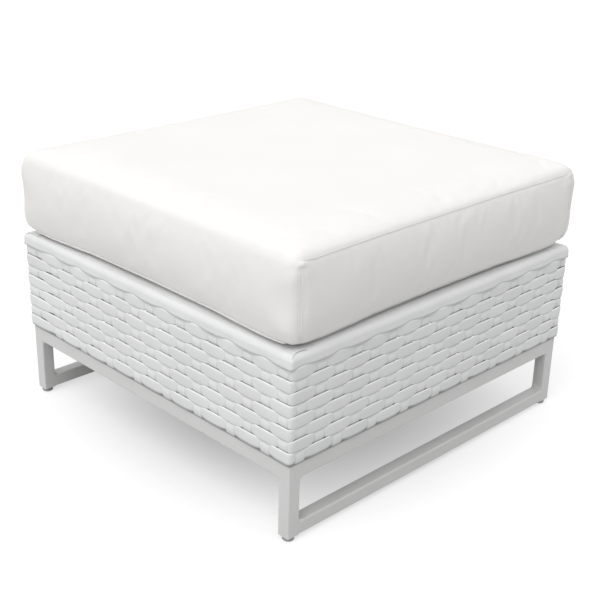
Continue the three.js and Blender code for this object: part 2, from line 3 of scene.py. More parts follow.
import bpy
import numpy as np
from bpy.props import FloatProperty, FloatVectorProperty, IntProperty, PointerProperty
from mathutils import Matrix, Vector
from mathutils.kdtree import KDTree


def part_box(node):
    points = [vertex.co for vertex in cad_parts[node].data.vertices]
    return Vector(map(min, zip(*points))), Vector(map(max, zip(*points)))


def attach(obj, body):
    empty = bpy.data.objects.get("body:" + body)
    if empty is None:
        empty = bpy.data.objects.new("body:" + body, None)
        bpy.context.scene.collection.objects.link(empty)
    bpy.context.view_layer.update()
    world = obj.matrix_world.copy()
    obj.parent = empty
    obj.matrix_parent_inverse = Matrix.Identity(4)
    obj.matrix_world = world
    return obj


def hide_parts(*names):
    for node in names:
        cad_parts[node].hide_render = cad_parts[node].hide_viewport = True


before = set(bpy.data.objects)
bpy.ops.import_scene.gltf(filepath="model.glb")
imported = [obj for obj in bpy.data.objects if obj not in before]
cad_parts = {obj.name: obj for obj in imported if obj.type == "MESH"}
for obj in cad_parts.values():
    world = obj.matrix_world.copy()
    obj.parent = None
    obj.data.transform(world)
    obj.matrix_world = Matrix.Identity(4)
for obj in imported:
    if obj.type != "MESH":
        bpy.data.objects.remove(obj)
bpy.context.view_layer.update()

# Patio ottoman: woven resin skirt on a welded sled frame, webbing deck and a loose box cushion.
# Metres, +Z up, -Y is the front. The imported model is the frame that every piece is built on.

bl_info = {
    "name": "Patio Ottoman",
    "version": (1, 0, 0),
    "blender": (4, 5, 0),
    "location": "3D View > Sidebar > Ottoman",
    "description": "Builds a woven outdoor ottoman with a box cushion on its packed frame",
    "category": "Add Mesh",
}

MM = 0.001
LOW, HIGH = 0, 1

# Digits of a metre that are kept of a size from the frame, and of the zip's level
FRAME_DIGITS, ZIP_DIGITS = 6, 4


def edge_of(name, end, axis):
    """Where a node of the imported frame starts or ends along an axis, to a thousandth of a millimetre."""
    return round(getattr(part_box(name)[end], axis), FRAME_DIGITS)


def span_of(name, axis):
    """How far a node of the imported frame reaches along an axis."""
    return round(edge_of(name, HIGH, axis) - edge_of(name, LOW, axis), FRAME_DIGITS)


def middle_of(name, axis):
    """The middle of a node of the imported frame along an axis."""
    return (edge_of(name, LOW, axis) + edge_of(name, HIGH, axis)) / 2


# Edges that turn by more than this many degrees stay sharp
NO_EDGES, SOFT_EDGES, ROW_EDGES, CRISP_EDGES, THREAD_EDGES = 180, 60, 42, 40, 30

# Woven skirt, measured along one face from the corner on its right
SIDE_LENGTH = 656.8 * MM
HALF_SIDE = SIDE_LENGTH / 2
STAKE_WIDTH = 21.5 * MM
WIDE_STAKE = 30 * MM
SIDE_PLACES = np.linspace(20.0, 617.4, 17) * MM
END_PLACES = np.append(15.0, np.linspace(51.0, 573.0, 15)) * MM
FOLDED_STAKE = (-16.0 * MM, 34.0 * MM)
LOOP_LENGTH = 4 * SIDE_LENGTH
LOOP_STEPS = 880
LOOP_PLACES = np.arange(LOOP_STEPS) * LOOP_LENGTH / LOOP_STEPS
CORNER_BEND = 5 * MM
CORNER_NOTCH = -2.2 * MM

# Rows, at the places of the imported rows: the rim takes the place of row 1
ROW_COUNT = 8
FIRST_ROW = 2
LAST_ROW = FIRST_ROW + ROW_COUNT - 1
HIGHEST_ROW, LOWEST_ROW = (edge_of(f"weaver_row_{row}", LOW, "z") for row in (FIRST_ROW, LAST_ROW))
ROWS_BOTTOM = LOWEST_ROW - 0.2 * MM
ROW_PITCH = round((HIGHEST_ROW - LOWEST_ROW) / (ROW_COUNT - 1), FRAME_DIGITS)
ROW_GAP = 0.16 * MM
ROW_EASE = 1.0 * MM
ROW_DIVE = 10.3 * MM
HIDDEN_DEPTH = 0.9 * MM
HIDDEN_CROWN = 0.75
CROWN_OUT = 0.45
ROW_LEAN = 0.1 * MM
PINCH_DEPTH, PINCH_PLACE, PINCH_REACH = 1.1 * MM, -0.33, 0.12
DEPTH_DRIFT, SLACK_DRIFT = 0.12 * MM, 0.22 * MM
DEPTH_KNOTS, SLACK_KNOTS = 60, 46
TONE_CHANGE = 0.04
# Painted shade near the foot of the lowest row
FOOT_SHADE = 0.5

# One row, lower to upper edge: where, how far it curls in, and its painted shade (negative: painted
# highlight)
ROW_PLACES = np.array([-1, -0.97, -0.9, -0.75, -0.5, -0.15, 0.25, 0.6, 0.82, 0.93, 0.98, 1])
ROW_DROPS = np.array([0.85, 0.66, 0.5, 0.36, 0.22, 0.1, 0.02, 0, 0.05, 0.16, 0.36, 0.66])
ROW_SHADE_AND_HIGHLIGHT = np.array([1, 1, 0.45, 0.08, 0, 0, 0, 0, -0.05, -0.25, -0.3, 0.2])

# Welded frame, from a packed leg and skirt rail
FRAME_HALF = edge_of("leg_front_right", HIGH, "x")
TUBE_SIDE = span_of("leg_front_right", "x")
LEG_FOOT = edge_of("leg_front_right", LOW, "z")
SKIRT_RAIL_TOP = edge_of("skirt_rail_front", HIGH, "z")
SKIRT_RAIL_FOOT = SKIRT_RAIL_TOP - 40 * MM
WELD_MARGIN = 1.5 * MM

# Rim and deck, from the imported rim, a deck rail and the straps
RIM_FOOT = edge_of("rim_front", LOW, "z") + 0.1 * MM
RIM_TOP = edge_of("rim_front", HIGH, "z")
RIM_FACE = edge_of("rim_right", HIGH, "x") + 0.3 * MM
RIM_BEND = 9 * MM
RIM_EASE = 0.5 * MM
MITRE_REACH = 45 * MM
RIM_THICKNESS = 1.3 * MM
LAP_THICKNESS = 1.1 * MM
DECK_TOP = edge_of("deck_rail_front", HIGH, "z")
STRAP_PLACES = np.array([middle_of(f"strap_across_{number}", "y") for number in (1, 2, 3, 4)])
STRAP_HALF = edge_of("strap_across_1", HIGH, "x") - 0.5 * MM
STRAP_WIDTH = span_of("strap_across_1", "y")
STRAP_THICKNESS = 1.8 * MM
STRAP_PLAY = 0.3 * MM

# Stakes, from just under the lowest row to behind the rim
STAKE_FOOT = ROWS_BOTTOM - 1.6 * MM
STAKE_HEAD = RIM_FOOT + 8.5 * MM
STAKE_STEPS = 76

# Glide stems, from the socket in the pad to the thread: radii in millimetres
STEM_FOOT, STEM_NECK, STEM_COLLAR = 4.6, 3.9, 7.0
FOOT_HEIGHT = 2 * MM
COLLAR_FOOT, COLLAR_TOP = 5.9 * MM, 7.2 * MM
THREAD_FOOT = 7.6 * MM
THREAD_STOP = 1.4 * MM
THREAD_RADII = (3.35, 3.6, 3.95, 3.6)
THREAD_ENDS = ((1 * MM, 3.3), (0, 2.9))
STEM_SIDES = 24

# Cushion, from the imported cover
CUSHION_HALF = edge_of("cover_boxing", HIGH, "x")
CUSHION_FOOT = edge_of("cover_bottom_panel", LOW, "z")
CUSHION_TOP = edge_of("cover_top_panel", HIGH, "z")
FOOT_PLAY = 0.2 * MM
TOP_SEAM = edge_of("cover_boxing", HIGH, "z")
SWELL_STEPS = 20
OUTWARD = 1.9 * MM

# Bands of the cushion's height: their two levels, and over how far they fade out beyond them
SIDE_BAND = (340 * MM, 392 * MM, 24 * MM)
CORNER_BAND = (306 * MM, 322 * MM, 22 * MM)
FOOT_BAND = (305 * MM, 316 * MM, 14 * MM)
END_BAND = (322 * MM, 424 * MM, 20 * MM)

# Where the cushion's corners start, counted from its middle, and over how far they come in fully
FILLED_CORNER = (230 * MM, 60 * MM)
LIFTED_CORNER = (248 * MM, 60 * MM)

# Seams and welts
END_SEAM_RADIUS, END_FOOT_RADIUS, UPRIGHT_RADIUS, FOOT_WELT_RADIUS = 0.5 * MM, 0.8 * MM, 0.6 * MM, 1.25 * MM
FOOT_WELT_PLACES = np.linspace(-304, 304, 120) * MM
FOOT_WELTS = (("upper", 321 * MM, 310.5 * MM), ("lower", 319 * MM, 306.6 * MM))

# Zip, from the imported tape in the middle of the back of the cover
ZIP_LEVEL = round(middle_of("zip_tape", "z"), ZIP_DIGITS)
ZIP_HALF = round(edge_of("zip_tape", HIGH, "x") + 0.3 * MM, FRAME_DIGITS)
TAPE_FACE = edge_of("zip_tape", HIGH, "y")
TAPE_HALF_WIDTH = 7.5 * MM
TAPE_THICKNESS = 0.8 * MM
TOOTH_MARGIN = 4 * MM
STITCH_PITCH = 3.6 * MM

# Floor: the grey that lights the object, the grey that is shown, and the glow away from the middle
FLOOR_SIZE = 60
FLOOR_GREY, SHOWN_GREY = 0.55, 0.42
GLOW_REACH, GLOW = 0.46, (0.2, 0.62)

# Camera, solved from the corners of the frame and the skirt
CAMERA_PLACE = (1.3017, -1.2861, 0.9640)
CAMERA_AZIMUTH, CAMERA_ELEVATION, CAMERA_ROLL = (math.radians(angle) for angle in (45.08, 22.98, 1.356))
CAMERA_LENS, CAMERA_SENSOR, CAMERA_SIGHT = 68.09, 36, 200

# Sun, turned from straight down about X and then about Y, and how wide it is
KEY_TILT, KEY_TURN, KEY_SPREAD = (math.radians(angle) for angle in (36, 9, 50))


class WeaveSettings(bpy.types.PropertyGroup):
    """Sizes and colour of the resin strips."""

    depth: FloatProperty(
        name="Weave depth", description="How far a row stands out over a stake",
        default=1.05 * MM, unit="LENGTH",
    )
    crown: FloatProperty(
        name="Strip crown", description="Rise of the middle of a strip over its edges",
        default=2.2 * MM, unit="LENGTH",
    )
    edge_wave: FloatProperty(
        name="Edge wave", description="How far the edge of a row swings up and down",
        default=1.3 * MM, unit="LENGTH",
    )
    thickness: FloatProperty(
        name="Strip thickness", description="Thickness of the resin strip",
        default=1.1 * MM, unit="LENGTH",
    )
    color: FloatVectorProperty(
        name="Resin colour", description="Colour of the resin strips",
        default=(0.765, 0.768, 0.772), subtype="COLOR",
    )


class FrameSettings(bpy.types.PropertyGroup):
    """Finish of the welded frame and its glides."""

    weld_width: FloatProperty(
        name="Weld width", description="Width of the ground welds beside the legs",
        default=5.0 * MM, unit="LENGTH",
    )
    color: FloatVectorProperty(
        name="Powder coat colour", description="Colour of the powder coat",
        default=(0.64, 0.64, 0.635), subtype="COLOR",
    )
    glide_color: FloatVectorProperty(
        name="Glide colour", description="Colour of the glides' plugs and pads",
        default=(0.38, 0.38, 0.375), subtype="COLOR",
    )
    thread_pitch: FloatProperty(
        name="Thread pitch", description="Pitch of the glide stem's thread",
        default=1.25 * MM, unit="LENGTH",
    )


class CushionSettings(bpy.types.PropertyGroup):
    """Filling and cover of the cushion."""

    pressure: FloatProperty(
        name="Pressure", description="Pressure of the filling in the cloth simulation", default=4.0,
    )
    most_swell: FloatProperty(
        name="Most swell", description="Furthest that a point of the cover may move",
        default=9 * MM, unit="LENGTH",
    )
    voxel: FloatProperty(
        name="Mesh size", description="Size of the remeshed faces",
        default=7 * MM, unit="LENGTH",
    )
    tooth_pitch: FloatProperty(
        name="Tooth pitch", description="Distance from one zip tooth to the next",
        default=2.0 * MM, unit="LENGTH",
    )
    color: FloatVectorProperty(
        name="Cover colour", description="Colour of the cushion cover",
        default=(0.875, 0.865, 0.848), subtype="COLOR",
    )


class StageSettings(bpy.types.PropertyGroup):
    """Lights and floor of the plain stage."""

    sky: FloatProperty(
        name="Sky", description="Strength of the soft light from straight above", default=1.0, min=0,
    )
    horizon: FloatProperty(
        name="Horizon", description="Strength of the soft light from level with the floor",
        default=0.36, min=0,
    )
    key: FloatProperty(
        name="Key", description="Strength of the soft sun above the front, a little to the right",
        default=1.4, min=0,
    )
    steps: IntProperty(
        name="Floor steps", description="Faces of the floor along each side", default=8, min=1,
    )


# Mesh helpers


def alone(obj):
    """Selects one object and nothing else."""
    bpy.ops.object.select_all(action="DESELECT")
    obj.select_set(True)
    bpy.context.view_layer.objects.active = obj


def points_of(obj):
    """The places of an object's vertices as an array of rows."""
    flat = np.empty(len(obj.data.vertices) * 3)
    obj.data.vertices.foreach_get("co", flat)
    return flat.reshape(-1, 3)


def place_points(obj, points):
    obj.data.vertices.foreach_set("co", np.asarray(points, dtype=float).ravel())
    obj.data.update()


def finish_with(obj, kind, **values):
    """Adds a modifier, sets its values and applies it."""
    alone(obj)
    modifier = obj.modifiers.new(kind.title(), kind)
    for name, value in values.items():
        setattr(modifier, name, value)
    bpy.ops.object.modifier_apply(modifier=modifier.name)


def smooth(obj, degrees):
    alone(obj)
    bpy.ops.object.shade_smooth_by_angle(angle=math.radians(degrees))


def thickened(obj, thickness, degrees):
    """Gives a face its thickness behind it, and smooths its edges up to an angle."""
    finish_with(obj, "SOLIDIFY", thickness=thickness, offset=-1)
    smooth(obj, degrees)
    return obj


def named(obj, name):
    obj.name = obj.data.name = name
    return obj


def joined(objects, name):
    """Several objects as one mesh."""
    bpy.ops.object.select_all(action="DESELECT")
    for obj in objects:
        obj.select_set(True)
    bpy.context.view_layer.objects.active = objects[0]
    bpy.ops.object.join()
    return named(bpy.context.view_layer.objects.active, name)


def paint(obj, name, values):
    """Stores one number for each vertex, for a material to read."""
    layer = obj.data.attributes.new(name, "FLOAT", "POINT")
    layer.data.foreach_set("value", np.asarray(values, dtype=np.float32))


def settled(obj, body, material):
    """Applies an object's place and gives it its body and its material."""
    alone(obj)
    bpy.ops.object.transform_apply(location=True, rotation=True, scale=True)
    obj.data.materials.clear()
    obj.data.materials.append(MATERIALS[material])
    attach(obj, body)


def hoop(columns, rings):
    """An open band round Z with its column and ring numbers."""
    bpy.ops.object.select_all(action="DESELECT")
    bpy.ops.mesh.primitive_cylinder_add(vertices=columns, radius=1, depth=2, end_fill_type="NOTHING")
    obj = bpy.context.object
    bpy.ops.object.mode_set(mode="EDIT")
    for ring in range(1, rings):
        bpy.ops.mesh.select_all(action="SELECT")
        bpy.ops.mesh.bisect(plane_co=(0, 0, 2 * ring / rings - 1), plane_no=(0, 0, 1))
    bpy.ops.object.mode_set(mode="OBJECT")
    points = points_of(obj)
    turn = np.arctan2(points[:, 1], points[:, 0]) / (2 * math.pi) * columns
    column = np.round(turn).astype(int) % columns
    ring = np.round((points[:, 2] + 1) / 2 * rings).astype(int)
    return obj, column, ring


def grid(across, up):
    """A flat patch with its column and row numbers. Its faces look along +Z, with X across."""
    bpy.ops.object.select_all(action="DESELECT")
    bpy.ops.mesh.primitive_grid_add(x_subdivisions=across, y_subdivisions=up, size=2)
    obj = bpy.context.object
    points = points_of(obj)
    column = np.round((points[:, 0] + 1) / 2 * across).astype(int)
    row = np.round((points[:, 1] + 1) / 2 * up).astype(int)
    return obj, column, row


def ramp(value, start, length):
    """0 up to a start, then rising to 1 over a length."""
    return np.clip((value - start) / length, 0, 1)


def bell(value, middle, reach):
    """1 at a middle, falling off softly on both sides of it."""
    return np.exp(-((value - middle) / reach) ** 2)


def eased(share):
    """A share from 0 to 1 that starts and ends softly."""
    return share * share * (3 - 2 * share)


def window(value, low, high, soft):
    """1 between two limits, falling to 0 over a soft stretch outside them."""
    return np.clip(np.minimum(value - low, high - value) / soft + 1, 0, 1)


# Paths round the skirt


def nearest_corner(s):
    """Number of the nearest corner of the skirt and the distance from it, negative before it."""
    corner = np.floor(s / SIDE_LENGTH + 0.5).astype(int) % 4
    return corner, np.mod(s + SIDE_LENGTH / 2, SIDE_LENGTH) - SIDE_LENGTH / 2


def at_corner(x, y, corner):
    """Points drawn at the back right corner, which is number 1, turned to their own corner."""
    turns = (corner - 1) * math.pi / 2
    return x * np.cos(turns) - y * np.sin(turns), x * np.sin(turns) + y * np.cos(turns)


def loop_point(s, out):
    """X and Y at a distance along the skirt, counted from the front right corner up the right side."""
    corner, along = nearest_corner(np.mod(s, LOOP_LENGTH))
    back = np.maximum(np.abs(along) - CORNER_BEND, 0)
    # Drawn at the back right corner, where the skirt arrives along +Y and leaves along -X
    angle = np.clip(along / CORNER_BEND, -1, 1) * math.pi / 4 + math.pi / 4
    inner, radius = HALF_SIDE - CORNER_BEND, CORNER_BEND + out
    x = inner + radius * np.cos(angle) - np.where(along > CORNER_BEND, back, 0)
    y = inner + radius * np.sin(angle) - np.where(along < -CORNER_BEND, back, 0)
    return at_corner(x, y, corner)


def stake_spans():
    """Start and end of every stake along the skirt, in order."""
    spans = []
    for half in (0, 1):
        start = half * 2 * SIDE_LENGTH
        spans += [(start + p - STAKE_WIDTH / 2, start + p + STAKE_WIDTH / 2) for p in SIDE_PLACES]
        corner = start + SIDE_LENGTH
        spans.append((corner + FOLDED_STAKE[0], corner + FOLDED_STAKE[1]))
        for place in END_PLACES[::-1]:
            middle = corner + SIDE_LENGTH - place
            spans.append((middle - STAKE_WIDTH / 2, middle + STAKE_WIDTH / 2))
    return spans


SPANS = stake_spans()


def side_of_stakes(row, ease=ROW_EASE):
    """Where a row runs at each place of the loop: 1 outside the stakes, -1 behind them."""
    knots, values = [], []
    for lap in (-1, 0, 1):
        for i, (start, end) in enumerate(SPANS):
            out = 1.0 if (i + row) % 2 == 0 else -1.0
            inward = ease if out > 0 else ROW_DIVE
            notch = CORNER_NOTCH if out < 0 and end - start > WIDE_STAKE else inward
            knots += [lap * LOOP_LENGTH + start + notch, lap * LOOP_LENGTH + end - inward]
            values += [out, out]
    knots, values = np.array(knots), np.array(values)
    at = np.clip(np.searchsorted(knots, LOOP_PLACES) - 1, 0, len(knots) - 2)
    share = eased(ramp(LOOP_PLACES, knots[at], knots[at + 1] - knots[at]))
    return values[at] + (values[at + 1] - values[at]) * share


# Shader groups and materials

GROUPS = {}
MATERIALS = {}
NOISE_SPAN = (0.3, 0.7)


def new_group(name, inputs, outputs):
    """An empty shader group with its sockets, and the nodes that stand for them."""
    group = bpy.data.node_groups.new(name, "ShaderNodeTree")
    for label, value in inputs.items():
        kind = "NodeSocketVector" if value is None else "NodeSocketFloat"
        socket = group.interface.new_socket(label, in_out="INPUT", socket_type=kind)
        if value is not None:
            socket.default_value = value
    for label in outputs:
        group.interface.new_socket(label, in_out="OUTPUT", socket_type="NodeSocketFloat")
    return group, group.nodes.new("NodeGroupInput"), group.nodes.new("NodeGroupOutput")


def node(tree, kind, inputs=None, **settings):
    """One node with its settings, its values and its links."""
    made = tree.nodes.new(kind)
    for key, value in settings.items():
        setattr(made, key, value)
    for key, value in (inputs or {}).items():
        if isinstance(value, bpy.types.NodeSocket):
            tree.links.new(value, made.inputs[key])
        else:
            made.inputs[key].default_value = value
    return made


def math_node(tree, operation, *values):
    return node(tree, "ShaderNodeMath", dict(enumerate(values)), operation=operation).outputs[0]


def remap(tree, value, source, target, **settings):
    """A number carried from one range to another."""
    ends = dict(zip(("From Min", "From Max", "To Min", "To Max"), (*source, *target)))
    return node(tree, "ShaderNodeMapRange", {"Value": value, **ends}, **settings).outputs[0]


def noise_group(name, scale, contrast, detail, roughness, second):
    """A cloud of noise as a shade round 1, and as it is for a mask or a height."""
    sockets = {"Vector": None, "Scale": scale, "Contrast": contrast}
    group, given, made = new_group(name, sockets, ("Shade", second))
    vector, size, change = (given.outputs[i] for i in range(3))
    inputs = {"Vector": vector, "Scale": size, "Detail": detail, "Roughness": roughness}
    cloud = node(group, "ShaderNodeTexNoise", inputs).outputs[0]
    spread = remap(group, cloud, NOISE_SPAN, (-1, 1))
    shade = math_node(group, "MULTIPLY_ADD", spread, change, 1.0)
    group.links.new(shade, made.inputs[0])
    group.links.new(cloud, made.inputs[1])
    return group


def thread_group():
    """Plain weave of crossing threads over a flat map of the cloth in metres."""
    inputs = {"Vector": None, "Threads": 900.0, "Slub": 0.3}
    group, given, made = new_group("plain_weave", inputs, ("Shade", "Height"))
    split = node(group, "ShaderNodeSeparateXYZ", {0: given.outputs[0]})
    turn = math_node(group, "MULTIPLY", given.outputs[1], math.pi)
    warp = math_node(group, "SINE", math_node(group, "MULTIPLY", split.outputs[0], turn))
    weft = math_node(group, "SINE", math_node(group, "MULTIPLY", split.outputs[1], turn))
    warp_up = math_node(group, "ABSOLUTE", warp)
    weft_up = math_node(group, "ABSOLUTE", weft)
    check = math_node(group, "GREATER_THAN", math_node(group, "MULTIPLY", warp, weft), 0.0)
    height = node(group, "ShaderNodeMix", {0: check, 2: warp_up, 3: weft_up}, data_type="FLOAT").outputs[0]
    slub = node(group, "ShaderNodeTexNoise", {"Vector": given.outputs[0], "Scale": 240.0, "Detail": 2.0})
    mixed = math_node(group, "MULTIPLY_ADD", slub.outputs[0], given.outputs[2], height)
    group.links.new(remap(group, mixed, (0.0, 1.3), (0.93, 1.02)), made.inputs[0])
    group.links.new(mixed, made.inputs[1])
    return group


def tinted(color, share):
    return tuple(channel * share for channel in color)


def color_with(tree, shader, color, *shades):
    """Gives a shader a plain colour times one or more shades."""
    result = (*color, 1.0)
    for shade in shades:
        inputs = {0: 1.0, 6: result, 7: shade}
        mix = node(tree, "ShaderNodeMix", inputs, data_type="RGBA", blend_type="MULTIPLY")
        result = mix.outputs[2]
    tree.links.new(result, shader.inputs["Base Color"])


def roughen(tree, shader, mask, low, high):
    """Lets the roughness change between two values with a mask."""
    tree.links.new(remap(tree, mask, (0, 1), (low, high)), shader.inputs["Roughness"])


def bump_with(tree, shader, height, strength, distance):
    bump = node(tree, "ShaderNodeBump", {"Height": height, "Strength": strength, "Distance": distance})
    tree.links.new(bump.outputs[0], shader.inputs["Normal"])


def start_material(name, roughness, metallic=0.0, sheen=0.0):
    """A new material: its tree, its shader and its texture coordinates."""
    material = bpy.data.materials.new(name)
    material.use_nodes = True
    tree = material.node_tree
    shader = tree.nodes["Principled BSDF"]
    for label, value in (("Roughness", roughness), ("Metallic", metallic), ("Sheen Weight", sheen)):
        shader.inputs[label].default_value = value
    MATERIALS[name] = material
    return tree, shader, tree.nodes.new("ShaderNodeTexCoord")


def use_group(tree, name, **values):
    """One of the shader groups, placed in a material."""
    return node(tree, "ShaderNodeGroup", values, node_tree=GROUPS[name])


def resin_material(name, color, stretch):
    """Extruded resin strip: satin, with drawn lines along its length, and the tone and painted shade and
    highlight stored on its points.
    """
    tree, shader, where = start_material(name, 0.46)
    mapping = node(tree, "ShaderNodeMapping", {"Vector": where.outputs["Object"], "Scale": stretch})
    lines = use_group(tree, "drawn_lines", Vector=mapping.outputs[0], Contrast=0.025)
    tone = use_group(tree, "slow_tone", Vector=where.outputs["Object"], Scale=11.0, Contrast=0.025)
    # The strip's random tone and its painted shade and highlight, stored on its points, darken or lighten
    # its colour
    tone_and_painted_light = node(tree, "ShaderNodeAttribute", attribute_name="tone_and_painted_light")
    painted_light_factor = remap(tree, tone_and_painted_light.outputs["Fac"], (0, 1), (1.0, 0.45), clamp=False)
    color_with(tree, shader, color, lines.outputs[0], tone.outputs[0], painted_light_factor)
    roughen(tree, shader, tone.outputs[1], 0.40, 0.54)
    bump_with(tree, shader, lines.outputs[1], 0.25, 0.15 * MM)


def coat_material(name, color, roughness, metallic=0.0, painted_shadow_level=None):
    """Powder coat: a fine orange peel under an even satin colour, with a painted shadow that darkens it
    from a little under one level upwards.
    """
    tree, shader, where = start_material(name, roughness, metallic)
    place = where.outputs["Object"]
    peel = node(tree, "ShaderNodeTexNoise", {"Vector": place, "Scale": 900.0, "Detail": 2.0})
    tone = use_group(tree, "slow_tone", Vector=place, Scale=14.0, Contrast=0.02)
    shades = [tone.outputs[0]]
    if painted_shadow_level:
        # Painted shadow under the foot of the weave: darker across the band, and dark above it
        height = node(tree, "ShaderNodeSeparateXYZ", {0: place}).outputs[2]
        band = (painted_shadow_level - 6.2 * MM, painted_shadow_level - 2.7 * MM)
        shades.append(remap(tree, height, band, (1.0, 0.38)))
    color_with(tree, shader, color, *shades)
    roughen(tree, shader, tone.outputs[1], roughness - 0.06, roughness + 0.08)
    bump_with(tree, shader, peel.outputs[0], 0.18, 0.12 * MM)


def cloth_material(name, color, threads, on_map=False, bump=0.35):
    """Woven cloth, on the piece's own map or on the place of the piece."""
    tree, shader, where = start_material(name, 0.86, sheen=0.12)
    cloth_place = where.outputs["UV" if on_map else "Object"]
    weave = use_group(tree, "plain_weave", Vector=cloth_place, Threads=threads)
    tone = use_group(tree, "slow_tone", Vector=where.outputs["Object"], Scale=7.0, Contrast=0.012)
    color_with(tree, shader, color, weave.outputs[0], tone.outputs[0])
    bump_with(tree, shader, weave.outputs[1], bump, 0.12 * MM)


# Operators


class OTTOMAN_OT_materials(bpy.types.Operator):
    """Make the shader groups and the materials"""

    bl_idname = "ottoman.materials"
    bl_label = "Make Materials"

    def execute(self, context):
        # The drawn lines get a vector that is already stretched across them
        GROUPS["drawn_lines"] = noise_group("drawn_lines", 1.0, 0.04, 3.0, 0.6, "Height")
        GROUPS["slow_tone"] = noise_group("slow_tone", 9.0, 0.03, 4.0, 0.55, "Mask")
        GROUPS["plain_weave"] = thread_group()
        frame_settings = context.scene.ottoman_frame
        resin = context.scene.ottoman_weave.color
        cover = context.scene.ottoman_cushion.color
        resin_material("resin_across", resin, (14, 14, 1500))
        resin_material("resin_upright", tinted(resin, 1.01), (1500, 1500, 14))
        coat_material("powder_coat", frame_settings.color, 0.42, painted_shadow_level=ROWS_BOTTOM - 0.5 * MM)
        coat_material("glide_plastic", frame_settings.glide_color, 0.5)
        coat_material("zinc_steel", (0.55, 0.56, 0.57), 0.3, metallic=0.9)
        coat_material("zip_plastic", tinted(cover, 0.85), 0.38)
        cloth_material("cover_cloth", cover, 1100.0, on_map=True)
        # The seam cloth is darker than the cover: on the seam lines that is painted shade, on the zip's
        # stitches the thread's colour
        for name, share in (("cover_seam", 0.86), ("cover_welt", 0.98), ("zip_cloth", 0.88)):
            cloth_material(name, tinted(cover, share), 800.0)
        cloth_material("webbing", (0.60, 0.59, 0.575), 420.0, bump=0.6)
        return {"FINISHED"}


class OTTOMAN_OT_frame(bpy.types.Operator):
    """Coat the welded frame and lay the ground welds over its joints"""

    bl_idname = "ottoman.frame"
    bl_label = "Finish Frame"

    def execute(self, context):
        coats = {
            "leg_": "powder_coat",
            "_rail_": "powder_coat",
            "glide_plug": "glide_plastic",
            "glide_pad": "glide_plastic",
            "zip_slider": "zip_plastic",
            "zip_pull": "zip_plastic",
        }
        for name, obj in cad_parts.items():
            for part, coat in coats.items():
                if part in name:
                    obj.data.materials.clear()
                    obj.data.materials.append(MATERIALS[coat])
        width = context.scene.ottoman_frame.weld_width
        outer, inner = FRAME_HALF, FRAME_HALF - TUBE_SIDE
        sled = (LEG_FOOT + WELD_MARGIN, LEG_FOOT + TUBE_SIDE - WELD_MARGIN)
        welds = []
        for turn in range(4):
            for hand in (-1, 1):
                welds.append(ground_weld(turn, hand * inner, outer, SKIRT_RAIL_FOOT, SKIRT_RAIL_TOP, width))
                sled_faces = (outer, -inner) if turn % 2 else ()
                for face in sled_faces:
                    welds.append(ground_weld(turn, hand * inner, face, *sled, width))
        settled(joined(welds, "ground_welds"), "base", "powder_coat")
        return {"FINISHED"}


def ground_weld(turn, across, face, low, high, width):
    """A weld dressed flush over the groove between a leg and a rail, on one face of the frame."""
    columns, levels = 6, 10
    crown, proud, depth = 0.05 * MM, 0.01 * MM, 1.9 * MM
    obj, column, level = grid(columns, levels)
    share = column / columns * 2 - 1
    run = across + width / 2 * share
    out = face + crown * (1 - share ** 2) + proud
    z = low + (high - low) * level / levels
    cos, sin = math.cos(turn * math.pi / 2), math.sin(turn * math.pi / 2)
    place_points(obj, np.column_stack([run * cos + out * sin, run * sin - out * cos, z]))
    return thickened(obj, depth, CRISP_EDGES)


class OTTOMAN_OT_rows(bpy.types.Operator):
    """Weave the rows of flat strip in and out of the stakes"""

    bl_idname = "ottoman.rows"
    bl_label = "Weave Rows"

    def execute(self, context):
        weave = context.scene.ottoman_weave
        chance, tones = np.random.default_rng(7), np.random.default_rng(11)
        for row in range(FIRST_ROW, LAST_ROW + 1):
            depth_drift = DEPTH_DRIFT * drift(chance, DEPTH_KNOTS)
            slack = SLACK_DRIFT * drift(chance, SLACK_KNOTS)
            obj = weave_row(weave, row, depth_drift, slack, tones)
            thickened(obj, weave.thickness, ROW_EDGES)
            settled(named(obj, f"woven_row_{row}"), "base", "resin_across")
            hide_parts(f"weaver_row_{row}")
        return {"FINISHED"}


def drift(chance, count):
    """A slow random change along the loop, from knot to knot."""
    knots = np.linspace(0, LOOP_LENGTH, count + 1)
    return np.interp(LOOP_PLACES, knots, np.append(chance.normal(0, 1, count), 0))


def weave_row(weave, row, depth_drift, slack, tones):
    """The outer face of one row: a crowned band that narrows where it dives behind a stake."""
    obj, column, ring = hoop(LOOP_STEPS, len(ROW_PLACES) - 1)
    lie = side_of_stakes(row)
    pinch = PINCH_DEPTH * bell(lie, PINCH_PLACE, PINCH_REACH)
    half = ROW_PITCH / 2 - ROW_GAP + weave.edge_wave * lie - pinch
    middle = ROWS_BOTTOM + (LAST_ROW - row + 0.5) * ROW_PITCH + slack
    swing = np.where(lie > 0, weave.depth, HIDDEN_DEPTH) + depth_drift
    crown = weave.crown * (HIDDEN_CROWN + (1 - HIDDEN_CROWN) * np.clip(lie, 0, 1))[column]
    out = (lie * swing)[column] + weave.thickness / 2 + (CROWN_OUT - ROW_DROPS[ring]) * crown
    x, y = loop_point(LOOP_PLACES[column], out + ROW_LEAN * ROW_PLACES[ring])
    place_points(obj, np.column_stack([x, y, middle[column] + ROW_PLACES[ring] * half[column]]))
    # The tone of the strip changes behind the stakes, and painted shade darkens the lowest row's foot
    hidden = [(start + end) / 2 for i, (start, end) in enumerate(SPANS) if (i + row) % 2]
    tone = tones.normal(0, TONE_CHANGE, len(hidden) + 1)[np.searchsorted(hidden, LOOP_PLACES)]
    foot_shade = FOOT_SHADE * (row == LAST_ROW) * ((ring == 2) | (ring == 3))
    paint(obj, "tone_and_painted_light", ROW_SHADE_AND_HIGHLIGHT[ring] + tone[column] + foot_shade)
    return obj


